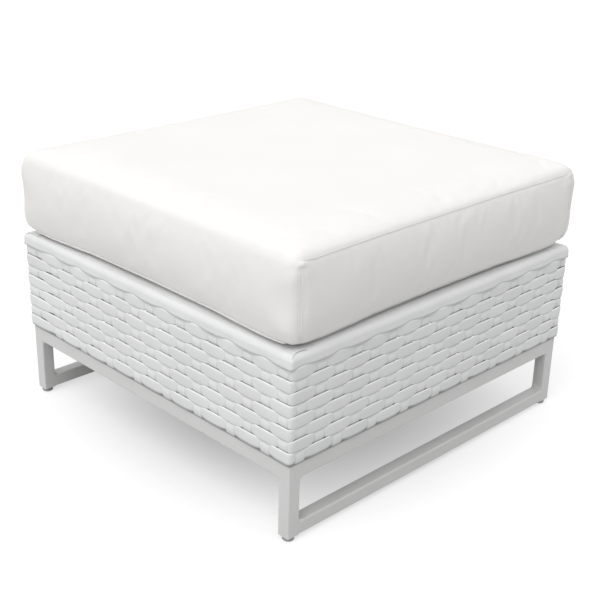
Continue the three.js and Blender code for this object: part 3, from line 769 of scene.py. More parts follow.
class OTTOMAN_OT_stakes(bpy.types.Operator):
    """Set the upright stakes between the rows, one group for each face"""

    bl_idname = "ottoman.stakes"
    bl_label = "Set Stakes"

    def execute(self, context):
        thickness = context.scene.ottoman_weave.thickness
        groups = {"right": [], "back": [], "left": [], "front": []}
        for number, (start, end) in enumerate(SPANS):
            side = int(((start + end) / 2 % LOOP_LENGTH) // SIDE_LENGTH)
            list(groups.values())[side].append(set_stake(number, start, end, thickness))
        for side, stakes in groups.items():
            obj = joined(stakes, f"stakes_{side}")
            thickened(obj, thickness, SOFT_EDGES)
            settled(obj, "base", "resin_upright")
            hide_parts(f"stake_panel_{side}")
        return {"FINISHED"}


def set_stake(number, start, end, thickness):
    """The outer face of one stake, which bends out wherever a row passes behind it."""
    bend, edge_roll, proud = 0.95 * MM, 0.85 * MM, 0.3 * MM
    lower_roll, upper_roll = 1.1 * MM, 1.9 * MM
    columns = 12 if end - start > WIDE_STAKE else 6
    obj, column, level = grid(columns, STAKE_STEPS)
    share = column / columns * 2 - 1
    z = STAKE_FOOT + (STAKE_HEAD - STAKE_FOOT) * level / STAKE_STEPS
    row = LAST_ROW - (z - ROWS_BOTTOM) / ROW_PITCH + 0.5
    lie = -np.cos(math.pi * (number + row))
    lie = np.where(z > RIM_FOOT - 1 * MM, np.minimum(lie, -0.6), lie)
    tile = (z - ROWS_BOTTOM) / ROW_PITCH % 1 * 2 - 1
    out = lie * bend + thickness / 2 - edge_roll * np.abs(share) ** 3 + proud
    out = out - np.where(tile < 0, lower_roll, upper_roll) * np.abs(tile) ** 2.2 * (lie > -0.5)
    spread = np.sign(share) * np.abs(share) ** 0.8
    x, y = loop_point((start + end) / 2 + spread * (end - start) / 2 * (1 - 0.02 * (lie < 0)), out)
    place_points(obj, np.column_stack([x, y, z]))
    # Painted shade beside the stake's edges and at the ends of each tile, where the rows pass over it
    beside = ramp(np.abs(share), 0.75, 0.25)
    between = ramp(np.abs(tile), 0.7, 0.16)
    paint(obj, "tone_and_painted_light", 0.35 * beside + (0.15 + 0.5 * beside) * between)
    return obj


class OTTOMAN_OT_rim(bpy.types.Operator):
    """Fold the rim strip over the top edge of the skirt, with a lap at each corner"""

    bl_idname = "ottoman.rim"
    bl_label = "Fold Rim"

    def execute(self, context):
        obj = fold_rim(context.scene.ottoman_weave.edge_wave)
        thickened(obj, RIM_THICKNESS, SOFT_EDGES)
        settled(named(obj, "folded_rim"), "base", "resin_across")
        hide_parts("rim_front", "rim_back", "rim_left", "rim_right")
        for turn, corner in enumerate(("front_right", "back_right", "back_left", "front_left")):
            obj = lap_corner(turn * math.pi / 2)
            thickened(obj, LAP_THICKNESS, CRISP_EDGES)
            settled(named(obj, f"rim_lap_{corner}"), "base", "resin_across")
        return {"FINISHED"}


def rim_profile():
    """Depth and height of the rim from its foot, up its face, over the bend and in to its hem."""
    straight = RIM_TOP - RIM_FOOT - RIM_BEND
    profile = [(0, z) for z in np.linspace(0, straight, 6)]
    for angle in np.linspace(0, math.pi / 2, 8)[1:]:
        profile.append((RIM_BEND * (1 - math.cos(angle)), straight + RIM_BEND * math.sin(angle)))
    profile += [(RIM_BEND + depth * MM, RIM_TOP - RIM_FOOT) for depth in (4, 9, 14, 19, 22.5, 24)]
    profile.append((RIM_BEND + 25 * MM, RIM_TOP - RIM_FOOT - 1.2 * MM))
    return np.array(profile).T


def fold_rim(edge_wave):
    """The outer face of the rim: its foot waves with the stakes, and the waves die out on the ledge."""
    relief_depth, relief_reach = 0.45 * MM, 20 * MM
    foot_relief, foot_reach = 0.5 * MM, 8 * MM
    drop, least_radius = 0.2 * MM, 0.05 * MM
    depths, heights = rim_profile()
    obj, column, ring = hoop(LOOP_STEPS, len(depths) - 1)
    corner, along = nearest_corner(LOOP_PLACES[column])
    lie = side_of_stakes(1, RIM_EASE)[column]
    depth, height = depths[ring], heights[ring]
    foot_share = np.clip(1 - height / foot_reach, 0, 1)
    relief = relief_depth * lie * np.clip(1 - depth / relief_reach, 0, 1) + foot_relief * foot_share * lie
    # Past the bend, relief stands up and no longer out
    on_top = np.clip(depth / RIM_BEND, 0, 1)
    z = RIM_FOOT + height - foot_share * (0.5 * edge_wave * lie) - drop + relief * on_top
    half = RIM_FACE + relief * (1 - on_top) - depth
    radius = np.maximum(CORNER_BEND - depth, least_radius)
    run, out = round_corner(HALF_SIDE - np.abs(along), half, radius)
    before = along < 0
    x, y = at_corner(np.where(before, out, run), np.where(before, run, out), corner)
    place_points(obj, np.column_stack([x, y, z]))
    # Painted shade along the foot of the rim
    paint(obj, "tone_and_painted_light", 0.95 * (ring == 0) + 0.2 * (ring == 1))
    return obj


def round_corner(from_middle, half, radius):
    """Places along and across a side, whose end is rounded and drawn in so that the mitre has a column."""
    start = RIM_FACE - MITRE_REACH
    share = ramp(from_middle, start, HALF_SIDE - start)
    run = np.where(from_middle > start, start + share * (half - start), from_middle)
    over = ramp(run, half - radius, radius)
    angle = over * math.pi / 4
    run = np.where(over > 0, half - radius + radius * np.sin(angle), run)
    return run, half - np.where(over > 0, radius * (1 - np.cos(angle)), 0)


def lap_corner(turn):
    """The end of one rim strip, lapped over the next at a corner. Drawn at the front right one."""
    columns, levels = 36, 24
    start, length, mitre, hollow, width = 1.2 * MM, 33 * MM, 45 * MM, 7.4 * MM, 60 * MM
    beside_crease, end_length, tuck = 0.8 * MM, 6 * MM, 0.3 * MM
    obj, column, level = grid(columns, levels)
    depth = start + length * level / levels
    crease = RIM_FACE - hollow * np.sin(math.pi * np.clip(depth / mitre, 0, 1)) - beside_crease
    share = (column / columns) ** 0.6
    x = (RIM_FACE - width) + (crease - RIM_FACE + width) * share
    y = -RIM_FACE + depth
    # Height of the rim under it, from how far inside the rounded outline a point lies
    inner = RIM_FACE - CORNER_BEND
    near = np.hypot(np.maximum(x - inner, 0), np.maximum(-y - inner, 0))
    inset = np.where((x > inner) & (-y > inner), CORNER_BEND - near, RIM_FACE - np.maximum(x, -y))
    fold = np.clip(RIM_BEND - inset, 0, RIM_BEND)
    surface = RIM_TOP - RIM_BEND + np.sqrt(RIM_BEND ** 2 - fold ** 2)
    # The strip's end comes up out of the rim along the crease
    edge = ramp(depth, start, end_length)
    rise = (-1.2 + 2.3 * eased(ramp(share, 0.35, 0.6))) * MM
    lift = rise * (0.3 + 0.7 * edge) - tuck * (column == columns)
    cos, sin = math.cos(turn), math.sin(turn)
    place_points(obj, np.column_stack([x * cos - y * sin, x * sin + y * cos, surface + lift]))
    # Painted shade along the lap's edge at the crease
    paint(obj, "tone_and_painted_light", 0.8 * (column == columns))
    return obj


class OTTOMAN_OT_deck(bpy.types.Operator):
    """Weave the webbing straps over and under each other"""

    bl_idname = "ottoman.deck"
    bl_label = "Weave Deck"

    def execute(self, context):
        for kind in ("across", "along"):
            for i, place in enumerate(STRAP_PLACES):
                first_over = i % 2 == (0 if kind == "across" else 1)
                obj = web_strap(place, kind == "along", STRAP_PLACES[0 if first_over else 1::2])
                thickened(obj, STRAP_THICKNESS - STRAP_PLAY, SOFT_EDGES)
                settled(named(obj, f"web_{kind}_{i + 1}"), "base", "webbing")
                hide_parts(f"strap_{kind}_{i + 1}")
        return {"FINISHED"}


def web_strap(place, turned, crossings):
    """The upper face of one strap, which rises over the straps that it crosses."""
    columns, levels = 150, 8
    clear, slope, edge_roll = 18 * MM, 17 * MM, 0.25 * MM
    obj, column, level = grid(columns, levels)
    x = -STRAP_HALF + 2 * STRAP_HALF * column / columns
    y = (level / levels - 0.5) * STRAP_WIDTH
    z = np.full(len(x), DECK_TOP + STRAP_THICKNESS)
    for middle in crossings:
        near = np.clip((STRAP_WIDTH / 2 + clear - np.abs(x - middle)) / slope, 0, 1)
        z = z + (STRAP_THICKNESS + STRAP_PLAY) * eased(near)
    z = z - edge_roll * (np.abs(y) / (STRAP_WIDTH / 2)) ** 6
    across = (place - y, x) if turned else (x, y + place)
    place_points(obj, np.column_stack([*across, z]))
    return obj


class OTTOMAN_OT_glides(bpy.types.Operator):
    """Cut the threads of the four glide stems"""

    bl_idname = "ottoman.glides"
    bl_label = "Make Glide Stems"

    def execute(self, context):
        pitch = context.scene.ottoman_frame.thread_pitch
        for corner in ("front_left", "front_right", "back_left", "back_right"):
            low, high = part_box(f"glide_stem_{corner}")
            obj = threaded_stem((low + high) / 2, stem_levels(low.z, high.z, pitch))
            smooth(obj, THREAD_EDGES)
            settled(named(obj, f"threaded_stem_{corner}"), f"glide_{corner}", "zinc_steel")
            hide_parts(f"glide_stem_{corner}")
        return {"FINISHED"}


def stem_levels(low, high, pitch):
    """Heights and radii of a stem: foot, neck, collar, neck and thread."""
    levels = [(low, STEM_FOOT), (low + FOOT_HEIGHT, STEM_FOOT), (low + FOOT_HEIGHT, STEM_NECK)]
    levels += [(COLLAR_FOOT, STEM_NECK), (COLLAR_FOOT, STEM_COLLAR)]
    levels += [(COLLAR_TOP, STEM_COLLAR), (COLLAR_TOP, STEM_NECK)]
    z, turns = THREAD_FOOT, 0
    while z < high - THREAD_STOP:
        levels.append((z, THREAD_RADII[turns % len(THREAD_RADII)]))
        z, turns = z + pitch / len(THREAD_RADII), turns + 1
    return levels + [(high - below, radius) for below, radius in THREAD_ENDS]


def threaded_stem(middle, levels):
    """A closed turned stem with its axis at a place."""
    obj, column, ring = hoop(STEM_SIDES, len(levels) - 1)
    height, radius = np.array(levels).T
    radius = radius[ring] * MM
    angle = column / STEM_SIDES * 2 * math.pi
    x, y = middle.x + radius * np.cos(angle), middle.y + radius * np.sin(angle)
    place_points(obj, np.column_stack([x, y, height[ring]]))
    alone(obj)
    bpy.ops.object.mode_set(mode="EDIT")
    bpy.ops.mesh.select_all(action="DESELECT")
    bpy.ops.mesh.select_non_manifold(extend=False)
    bpy.ops.mesh.edge_face_add()
    bpy.ops.object.mode_set(mode="OBJECT")
    return obj


class OTTOMAN_OT_cushion(bpy.types.Operator):
    """Fill the cushion: swell its cover in a cloth simulation and sew its seams"""

    bl_idname = "ottoman.cushion"
    bl_label = "Fill Cushion"

    def execute(self, context):
        settings = context.scene.ottoman_cushion
        cover = start_cover(context)
        fill_corners(cover)
        finish_with(cover, "REMESH", mode="VOXEL", voxel_size=settings.voxel)
        finish_with(cover, "SMOOTH", factor=0.5, iterations=4)
        finish_with(cover, "DISPLACE", strength=OUTWARD, mid_level=0)
        swell(context, cover, settings)
        hold_size(cover)
        finish_with(cover, "SUBSURF", levels=1, render_levels=1)
        lift_corners(cover)
        ease_corner(cover)
        lines = seam_lines(cover)
        draw_in(cover, lines)
        press_band(cover)
        smooth(cover, NO_EDGES)
        map_cloth(cover)
        settled(cover, "cushion", "cover_cloth")
        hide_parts("cushion_core", "cover_top_panel", "cover_bottom_panel", "cover_boxing")
        for name, (points, radius) in lines.items():
            sew(context, name, points, radius)
        return {"FINISHED"}


def start_cover(context):
    """The core's shape as the first form of the cover, with its loose triangles merged."""
    bpy.ops.object.select_all(action="DESELECT")
    cover = bpy.data.objects.new("cushion_cover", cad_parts["cushion_core"].data.copy())
    context.scene.collection.objects.link(cover)
    alone(cover)
    bpy.ops.object.mode_set(mode="EDIT")
    bpy.ops.mesh.select_all(action="SELECT")
    bpy.ops.mesh.remove_doubles(threshold=0.05 * MM)
    bpy.ops.object.mode_set(mode="OBJECT")
    return cover


def corner_share(points, start, length):
    """0 in the middle of the sides and 1 towards the four corners."""
    return ramp(np.minimum(np.abs(points[:, 0]), np.abs(points[:, 1])), start, length)


def fill_corners(cover):
    """Straightens the sides between the seams and fills out the foot of each corner."""
    side_fill, foot_fill = 2.4 * MM, 2.5 * MM
    left_fill, corner_fill = 10 * MM, 6.5 * MM
    side_start, side_length = 290 * MM, 20 * MM
    points = points_of(cover)
    z = points[:, 2]
    points[:, :2] *= 1 + (side_fill / CUSHION_HALF) * window(z, *SIDE_BAND)[:, None]
    corner = corner_share(points, *FILLED_CORNER)
    reach = np.where((points[:, 0] < 0) & (points[:, 1] < 0), left_fill, corner_fill)
    points[:, :2] *= 1 + (reach / CUSHION_HALF * corner * window(z, *CORNER_BAND))[:, None]
    foot = window(z, *FOOT_BAND) * (1 - corner)
    for axis in (0, 1):
        side = ramp(np.abs(points[:, axis]), side_start, side_length)
        points[:, axis] *= 1 + (foot_fill / CUSHION_HALF) * foot * side
    place_points(cover, points)


def swell(context, cover, settings):
    """Blows the cover up like a filled cushion: its seams and its foot hold, and no point moves too far."""
    alone(cover)
    before = points_of(cover)
    group = hold_seams(cover, before)
    cloth = cover.modifiers.new("Cloth", "CLOTH")
    cloth.settings.quality = 4
    cloth.settings.mass = 0.3
    cloth.settings.use_pressure = True
    cloth.settings.uniform_pressure_force = settings.pressure
    cloth.settings.tension_stiffness = 15
    cloth.settings.compression_stiffness = 15
    cloth.settings.bending_stiffness = 0.8
    cloth.settings.shrink_min = -0.006
    cloth.settings.vertex_group_mass = group.name
    cloth.settings.pin_stiffness = 1.0
    cloth.settings.effector_weights.gravity = 0
    cloth.point_cache.frame_start, cloth.point_cache.frame_end = 1, SWELL_STEPS
    for step in range(1, SWELL_STEPS + 1):
        context.scene.frame_set(step)
    alone(cover)
    bpy.ops.object.modifier_apply(modifier=cloth.name)
    context.scene.frame_set(1)
    cover.vertex_groups.clear()
    move = points_of(cover) - before
    length = np.linalg.norm(move, axis=1, keepdims=True)
    place_points(cover, before + move * np.minimum(1, settings.most_swell / np.maximum(length, 1e-9)))


def hold_seams(cover, points):
    """A vertex group that holds the cover along its seams and its foot, in ten weights."""
    weights = 10
    seam_reach, seam_inset = 7 * MM, 22 * MM
    foot_level, foot_reach, foot_inset = 312 * MM, 9 * MM, 34 * MM
    upright_reach, underside = 14 * MM, 3 * MM
    half = CUSHION_HALF
    x, y, z = np.abs(points[:, 0]), np.abs(points[:, 1]), points[:, 2]
    outer = np.maximum(x, y)
    top_edge = bell(z, TOP_SEAM, seam_reach) * (outer > half - seam_inset)
    foot_edge = bell(z, foot_level, foot_reach) * (outer > half - foot_inset)
    upright_edge = bell(np.minimum(x, y), half, upright_reach)
    foot = 1.0 * (z < CUSHION_FOOT + underside)
    held = np.clip(np.max([top_edge, foot_edge, upright_edge, foot], axis=0), 0, 1)
    group = cover.vertex_groups.new(name="held")
    for weight in range(1, weights + 1):
        chosen = np.flatnonzero(np.ceil(held * weights) == weight)
        group.add([int(i) for i in chosen], weight / weights, "REPLACE")
    return group


def hold_size(cover):
    """Presses the crown and the sides back to the cut size of the cover, in proportion."""
    below_seam, soft_edge = 1 * MM, 14 * MM
    points = points_of(cover)
    seam, top = TOP_SEAM - below_seam, CUSHION_TOP
    over = points[:, 2] > seam
    points[over, 2] = seam + (points[over, 2] - seam) * (top - seam) / (points[:, 2].max() - seam)
    for axis in (0, 1):
        reach = np.abs(points[:, axis])
        inner = CUSHION_HALF - soft_edge
        share = (CUSHION_HALF - inner) / (reach.max() - inner)
        reach = np.where(reach > inner, inner + (reach - inner) * share, reach)
        points[:, axis] = np.sign(points[:, axis]) * reach
    place_points(cover, points)


def rest_foot(cover, points):
    """Places the cover's points with its underside flat on the deck and rim."""
    points[:, 2] = np.maximum(points[:, 2], CUSHION_FOOT + FOOT_PLAY)
    place_points(cover, points)


def lift_corners(cover):
    """Curls the foot of each corner up a little."""
    curl, curl_top, curl_fade = 5 * MM, 345 * MM, 44 * MM
    points = points_of(cover)
    low = np.clip((curl_top - points[:, 2]) / curl_fade, 0, 1)
    points[:, 2] += curl * corner_share(points, *LIFTED_CORNER) ** 1.5 * low
    rest_foot(cover, points)


def ease_corner(cover):
    """Turns the end panels in at the front right and back left corners, where the filling is softest."""
    ease, turn_start, turn_length = 7 * MM, 304 * MM, 31 * MM
    side_start, side_length = 250 * MM, 70 * MM
    points = points_of(cover)
    level = window(points[:, 2], *END_BAND)
    for x, y in ((1, -1), (-1, 1)):
        turn = ramp(points[:, 1] * y, turn_start, turn_length)
        side = ramp(points[:, 0] * x, side_start, side_length)
        share = turn * turn * side * side * (3 - 2 * side) * level
        points[:, 0] -= x * ease * share
    place_points(cover, points)


def on_surface(cover, guide):
    """Each guide point moved to the nearest place on the cover."""
    return np.array([cover.closest_point_on_mesh(Vector(point))[1][:] for point in guide])


def guide_line(x, y, z):
    """A row of guide points. A single number counts for all of them."""
    return np.column_stack(np.broadcast_arrays(x, y, z))


def end_guides():
    """Guides round the right end panel: its top seam and foot seam, and its back upright downwards."""
    seam_out, seam_half, seam_crown, seam_horn = 329 * MM, 315 * MM, 2 * MM, 4 * MM
    foot_out, foot_half, foot_level = 320 * MM, 300 * MM, 306.5 * MM
    upright_out, upright_bulge, upright_half, upright_spread = 316 * MM, 17 * MM, 303 * MM, 11 * MM
    upright_foot, upright_height = 309 * MM, 122 * MM
    y = np.linspace(-1, 1, 90)
    top_level = TOP_SEAM + seam_crown * (1 - y ** 2) + seam_horn * ramp(np.abs(y), 0.9, 0.1) ** 1.5
    top = guide_line(seam_out, seam_half * y, top_level)
    foot = guide_line(foot_out, foot_half * y, foot_level)
    up = np.linspace(1, 0, 22)[1:-1]
    out = upright_out + upright_bulge * np.sin(up * math.pi / 1.15) ** 0.4
    across = upright_half + upright_spread * np.clip(up * 4, 0, 1) ** 0.6
    return top, foot, guide_line(out, across, upright_foot + upright_height * up)


def seam_lines(cover):
    """Paths and radii of the seams: a loop round each end panel, and the foot welts between them."""
    top, foot, down = end_guides()
    lines = {}
    for sign, side in ((1, "right"), (-1, "left")):
        mirror = (sign, 1, 1)
        front = down[::-1] * (sign, -1, 1)
        lines[f"end_seam_{side}"] = (on_surface(cover, top * mirror), END_SEAM_RADIUS)
        lines[f"end_foot_{side}"] = (on_surface(cover, foot * mirror), END_FOOT_RADIUS)
        lines[f"upright_welt_{side}_back"] = (on_surface(cover, down * mirror), UPRIGHT_RADIUS)
        lines[f"upright_welt_{side}_front"] = (on_surface(cover, front), UPRIGHT_RADIUS)
    for sign, side in ((-1, "front"), (1, "back")):
        for name, out, z in FOOT_WELTS:
            guide = guide_line(FOOT_WELT_PLACES, sign * out, z)
            lines[f"foot_welt_{name}_{side}"] = (on_surface(cover, guide), FOOT_WELT_RADIUS)
    return lines


def draw_in(cover, lines):
    """Draws the cover in along its seams, with small gathers beside them, and raises its ears."""
    reach, margin = 45 * MM, 50 * MM
    gather_height, gather_reach, gather_start = 1.2 * MM, 15 * MM, 5 * MM
    points = points_of(cover)
    normals = np.empty(len(points) * 3)
    cover.data.vertices.foreach_get("normal", normals)
    normals = normals.reshape(-1, 3)
    for name, (path, _) in lines.items():
        upright = name.startswith("upright")
        pull, deep, wide = (1.0, 2.4 * MM, 6 * MM) if upright else (0.35, 1.0 * MM, 3 * MM)
        tree = KDTree(len(path))
        for i, point in enumerate(path):
            tree.insert(Vector(point), i)
        tree.balance()
        run = np.append(0, np.cumsum(np.linalg.norm(np.diff(path, axis=0), axis=1)))
        low, high = path.min(axis=0) - margin, path.max(axis=0) + margin
        for k in np.flatnonzero(np.all((points > low) & (points < high), axis=1)):
            _, i, distance = tree.find(Vector(points[k]))
            if distance > reach:
                continue
            phase = run[i] / MM
            wave = math.sin(phase / 5.1) * 0.5 + math.sin(phase / 8.3 + 1.3) * 0.5
            gather = gather_height * wave * pull * math.exp(-((distance / gather_reach) ** 2))
            groove = deep * math.exp(-((distance / wide) ** 2))
            points[k] += normals[k] * (gather * min(1.0, distance / gather_start) - groove)
    raise_ears(points, normals)
    rest_foot(cover, points)


def raise_ears(points, normals):
    """Raises an ear at each top corner with a dip behind it. The front right one is the largest."""
    large_rise, small_rise = 6.5 * MM, 2.5 * MM
    ear_reach, dip_reach = 5.5 * MM, 6 * MM
    for x, y in ((-1, -1), (-1, 1), (1, -1), (1, 1)):
        rise = large_rise if x > 0 > y else small_rise
        ear = np.array([x * 331 * MM, y * 314 * MM, TOP_SEAM - 3 * MM])
        dip = ear + (x * 1 * MM, y * 12 * MM, 1 * MM)
        bump = rise * bell(np.linalg.norm(points - ear, axis=1), 0, ear_reach)
        hollow = rise / 3 * bell(np.linalg.norm(points - dip, axis=1), 0, dip_reach)
        points += normals * (bump - hollow)[:, None]


def press_band(cover):
    """Flattens the back of the cover along its zip."""
    reach, end_fade, height, edge_fade = ZIP_HALF + 55 * MM, 50 * MM, 38 * MM, 25 * MM
    back, under_tape = 300 * MM, 0.6 * MM
    points = points_of(cover)
    along = np.clip((reach - np.abs(points[:, 0])) / end_fade, 0, 1)
    up = np.clip((height - np.abs(points[:, 2] - ZIP_LEVEL)) / edge_fade, 0, 1)
    share = eased(along) * eased(up) * (points[:, 1] > back)
    points[:, 1] += share * (TAPE_FACE - under_tape - points[:, 1])
    place_points(cover, points)


def map_cloth(cover):
    """Lays a flat map in metres on the cover from six sides."""
    alone(cover)
    bpy.ops.object.mode_set(mode="EDIT")
    bpy.ops.mesh.select_all(action="SELECT")
    plain = {"correct_aspect": False, "clip_to_bounds": False, "scale_to_bounds": False}
    bpy.ops.uv.cube_project(cube_size=1.0, **plain)
    bpy.ops.object.mode_set(mode="OBJECT")


def sew(context, name, points, radius):
    """A thin round seam or welt along a path."""
    curve = bpy.data.curves.new(name, "CURVE")
    curve.dimensions = "3D"
    curve.bevel_depth, curve.bevel_resolution, curve.use_fill_caps = radius, 2, True
    spline = curve.splines.new("POLY")
    spline.points.add(len(points) - 1)
    spline.points.foreach_set("co", np.column_stack([points, np.ones(len(points))]).ravel())
    obj = bpy.data.objects.new(name, curve)
    context.scene.collection.objects.link(obj)
    alone(obj)
    bpy.ops.object.convert(target="MESH")
    smooth(obj, NO_EDGES)
    material = "cover_welt" if "welt" in name else "cover_seam"
    settled(named(bpy.context.object, name), "cushion", material)


class OTTOMAN_OT_zip(bpy.types.Operator):
    """Sew the zip into the back of the cover: its tape, two rows of teeth and the stitches beside them"""

    bl_idname = "ottoman.zip"
    bl_label = "Sew Zip"

    def execute(self, context):
        pitch = context.scene.ottoman_cushion.tooth_pitch
        sew_tape()
        for side, hand in (("upper", 1), ("lower", -1)):
            tooth = first_tooth(pitch, hand)
            finish_with(tooth, "BEVEL", width=0.25 * MM, segments=1)
            repeat_along(tooth, pitch, int((2 * ZIP_HALF - 2 * TOOTH_MARGIN) / pitch))
            smooth(tooth, CRISP_EDGES)
            settled(named(tooth, f"zip_teeth_{side}"), "cushion", "zip_plastic")
            stitch = first_stitch(hand)
            finish_with(stitch, "BEVEL", width=0.12 * MM, segments=1, angle_limit=math.radians(60))
            repeat_along(stitch, STITCH_PITCH, int(2 * ZIP_HALF / STITCH_PITCH))
            smooth(stitch, SOFT_EDGES)
            settled(named(stitch, f"zip_stitches_{side}"), "cushion", "cover_seam")
        return {"FINISHED"}


def repeat_along(obj, pitch, count):
    """Repeats a piece along +X at a pitch."""
    offset = {"use_constant_offset": True, "constant_offset_displace": (pitch, 0, 0)}
    finish_with(obj, "ARRAY", count=count, use_relative_offset=False, **offset)


def sew_tape():
    """Both halves of the tape as one band, with its edges pressed into the cover."""
    columns, levels = 100, 12
    sunk, edge_press = 0.15 * MM, 0.5 * MM
    tape, column, level = grid(columns, levels)
    up = level / (levels / 2) - 1
    y = TAPE_FACE - sunk - edge_press * np.abs(up) ** 6
    x, z = ZIP_HALF * (1 - column / (columns / 2)), ZIP_LEVEL + TAPE_HALF_WIDTH * up
    place_points(tape, np.column_stack([x, y, z]))
    thickened(tape, TAPE_THICKNESS, SOFT_EDGES)
    settled(named(tape, "zip_band"), "cushion", "zip_cloth")
    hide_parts("zip_tape")


def first_tooth(pitch, hand):
    """The first tooth of a row. The two rows stand half a pitch apart."""
    proud, beside_middle = 0.2 * MM, 0.9 * MM
    filled, depth, height = 0.62, 1.1 * MM, 3.4 * MM
    start = -ZIP_HALF + TOOTH_MARGIN + (hand + 1) / 4 * pitch
    place = (start, TAPE_FACE + proud, ZIP_LEVEL + hand * beside_middle)
    bpy.ops.object.select_all(action="DESELECT")
    bpy.ops.mesh.primitive_cube_add(size=1, location=place)
    tooth = bpy.context.object
    tooth.scale = (filled * pitch, depth, height)
    bpy.ops.object.transform_apply(location=True, rotation=True, scale=True)
    return tooth


def first_stitch(hand):
    """The first stitch of a row beside the tape."""
    thread, length = 0.3 * MM, 2.7 * MM
    sunk, beside_middle = 0.5 * MM, 9.6 * MM
    place = (-ZIP_HALF, TAPE_FACE - sunk, ZIP_LEVEL + hand * beside_middle)
    pose = {"location": place, "rotation": (0, math.pi / 2, 0)}
    bpy.ops.object.select_all(action="DESELECT")
    bpy.ops.mesh.primitive_cylinder_add(vertices=8, radius=thread, depth=length, **pose)
    bpy.ops.object.transform_apply(location=True, rotation=True, scale=True)
    return bpy.context.object


class OTTOMAN_OT_stage(bpy.types.Operator):
    """Set the floor, the lights and the camera"""

    bl_idname = "ottoman.stage"
    bl_label = "Set Stage"

    def execute(self, context):
        stage = context.scene.ottoman_stage
        bpy.ops.object.select_all(action="DESELECT")
        steps = {"x_subdivisions": stage.steps, "y_subdivisions": stage.steps}
        bpy.ops.mesh.primitive_grid_add(size=FLOOR_SIZE, **steps)
        floor = named(bpy.context.object, "floor")
        floor.data.materials.append(floor_paper())
        context.scene.world = studio_sky(stage)
        bpy.ops.object.light_add(type="SUN", rotation=(KEY_TILT, KEY_TURN, 0))
        key = named(bpy.context.object, "key_light")
        key.data.energy = stage.key
        key.data.angle = KEY_SPREAD
        context.scene.camera = place_camera()
        context.scene.view_settings.view_transform = "Standard"
        return {"FINISHED"}


def shown_ray(tree):
    """1 for the rays that show a background: seen, reflected and seen through."""
    ray = tree.nodes.new("ShaderNodeLightPath")
    either = math_node(tree, "MAXIMUM", ray.outputs["Is Camera Ray"], ray.outputs["Is Glossy Ray"])
    return math_node(tree, "MAXIMUM", either, ray.outputs["Is Transmission Ray"])


def floor_paper():
    """Pale paper that lights the object plainly and is shown with a white glow away from it."""
    material = bpy.data.materials.new("floor_paper")
    material.use_nodes = True
    tree = material.node_tree
    tree.nodes.clear()
    output = tree.nodes.new("ShaderNodeOutputMaterial")
    paper = node(tree, "ShaderNodeBsdfDiffuse", {"Color": (FLOOR_GREY, FLOOR_GREY, FLOOR_GREY, 1)})
    shown_paper = node(tree, "ShaderNodeBsdfDiffuse", {"Color": (SHOWN_GREY, SHOWN_GREY, SHOWN_GREY, 1)})
    where = tree.nodes.new("ShaderNodeTexCoord")
    reach = node(tree, "ShaderNodeVectorMath", {0: where.outputs["Object"]}, operation="LENGTH")
    away = reach.outputs["Value"]
    # The glow rises from the middle outwards, which paints the floor darker round the object as a soft
    # shadow
    bright = remap(tree, away, (0.0, GLOW_REACH), GLOW, interpolation_type="SMOOTHSTEP")
    glow = node(tree, "ShaderNodeEmission", {"Color": (1, 1, 1, 1), "Strength": bright})
    shown = node(tree, "ShaderNodeAddShader", {0: shown_paper.outputs[0], 1: glow.outputs[0]})
    inputs = {0: shown_ray(tree), 1: paper.outputs[0], 2: shown.outputs[0]}
    mix = node(tree, "ShaderNodeMixShader", inputs)
    tree.links.new(mix.outputs[0], output.inputs[0])
    return material


def studio_sky(stage):
    """Soft white light that is stronger from above, shown as plain white."""
    world = bpy.data.worlds.new("studio")
    world.use_nodes = True
    tree = world.node_tree
    background = tree.nodes["Background"]
    background.inputs["Color"].default_value = (1, 1, 1, 1)
    plain = node(tree, "ShaderNodeBackground", {"Color": (1, 1, 1, 1), "Strength": 1.0})
    where = tree.nodes.new("ShaderNodeTexCoord")
    height = node(tree, "ShaderNodeSeparateXYZ", {0: where.outputs["Generated"]})
    strength = remap(tree, height.outputs[2], (0, 1), (stage.horizon, stage.sky))
    tree.links.new(strength, background.inputs["Strength"])
    inputs = {0: shown_ray(tree), 1: background.outputs[0], 2: plain.outputs[0]}
    mix = node(tree, "ShaderNodeMixShader", inputs)
    tree.links.new(mix.outputs[0], tree.nodes["World Output"].inputs[0])
    return world


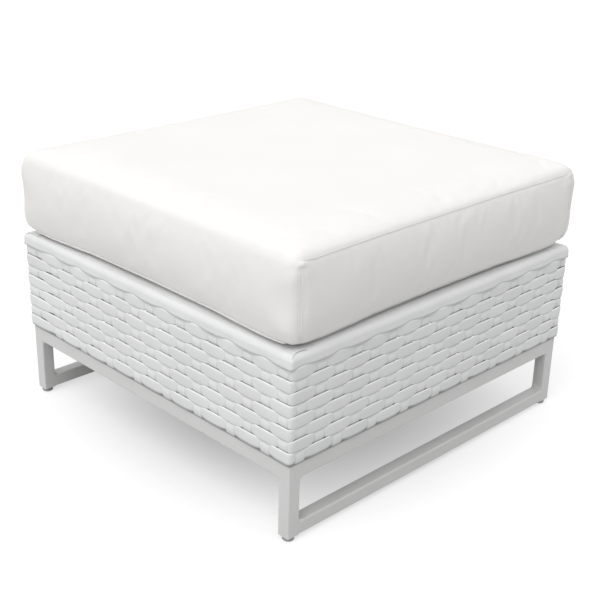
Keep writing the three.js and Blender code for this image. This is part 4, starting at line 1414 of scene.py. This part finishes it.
def place_camera():
    """The camera at the photograph's place, turned and rolled as it was."""
    bpy.ops.object.camera_add()
    camera = named(bpy.context.object, "camera")
    side, ahead = math.sin(CAMERA_AZIMUTH), -math.cos(CAMERA_AZIMUTH)
    flat, rise = math.cos(CAMERA_ELEVATION), math.sin(CAMERA_ELEVATION)
    back = Vector((side * flat, ahead * flat, rise))
    level = Vector((0, 0, 1)).cross(back).normalized()
    up = back.cross(level)
    across = math.cos(CAMERA_ROLL) * level + math.sin(CAMERA_ROLL) * up
    upright = -math.sin(CAMERA_ROLL) * level + math.cos(CAMERA_ROLL) * up
    turn = Matrix((across, upright, back)).transposed().to_4x4()
    camera.matrix_world = Matrix.Translation(CAMERA_PLACE) @ turn
    camera.data.sensor_width = CAMERA_SENSOR
    camera.data.lens = CAMERA_LENS
    camera.data.clip_end = CAMERA_SIGHT
    return camera


class OTTOMAN_PT_panel(bpy.types.Panel):
    """Lists the settings and the steps that build the ottoman"""

    bl_label = "Patio Ottoman"
    bl_idname = "OTTOMAN_PT_panel"
    bl_space_type = "VIEW_3D"
    bl_region_type = "UI"
    bl_category = "Ottoman"

    def draw(self, context):
        for group in SETTINGS:
            box = self.layout.box()
            settings = getattr(context.scene, group)
            for name in settings.__annotations__:
                box.prop(settings, name)
        for step in STEPS:
            self.layout.operator(step.bl_idname)


SETTINGS = {
    "ottoman_weave": WeaveSettings,
    "ottoman_frame": FrameSettings,
    "ottoman_cushion": CushionSettings,
    "ottoman_stage": StageSettings,
}
STEPS = (
    OTTOMAN_OT_materials,
    OTTOMAN_OT_stage,
    OTTOMAN_OT_frame,
    OTTOMAN_OT_rows,
    OTTOMAN_OT_stakes,
    OTTOMAN_OT_rim,
    OTTOMAN_OT_deck,
    OTTOMAN_OT_glides,
    OTTOMAN_OT_cushion,
    OTTOMAN_OT_zip,
)


def register():
    for settings in SETTINGS.values():
        bpy.utils.register_class(settings)
    for name, settings in SETTINGS.items():
        setattr(bpy.types.Scene, name, PointerProperty(type=settings))
    for step in (*STEPS, OTTOMAN_PT_panel):
        bpy.utils.register_class(step)


def unregister():
    for step in (OTTOMAN_PT_panel, *reversed(STEPS)):
        bpy.utils.unregister_class(step)
    for name in SETTINGS:
        delattr(bpy.types.Scene, name)
    for settings in reversed(SETTINGS.values()):
        bpy.utils.unregister_class(settings)


def main():
    register()
    bpy.ops.ottoman.materials()
    bpy.ops.ottoman.stage()
    bpy.ops.ottoman.frame()
    bpy.ops.ottoman.rows()
    bpy.ops.ottoman.stakes()
    bpy.ops.ottoman.rim()
    bpy.ops.ottoman.deck()
    bpy.ops.ottoman.glides()
    bpy.ops.ottoman.cushion()
    bpy.ops.ottoman.zip()


if __name__ == "__main__":
    main()
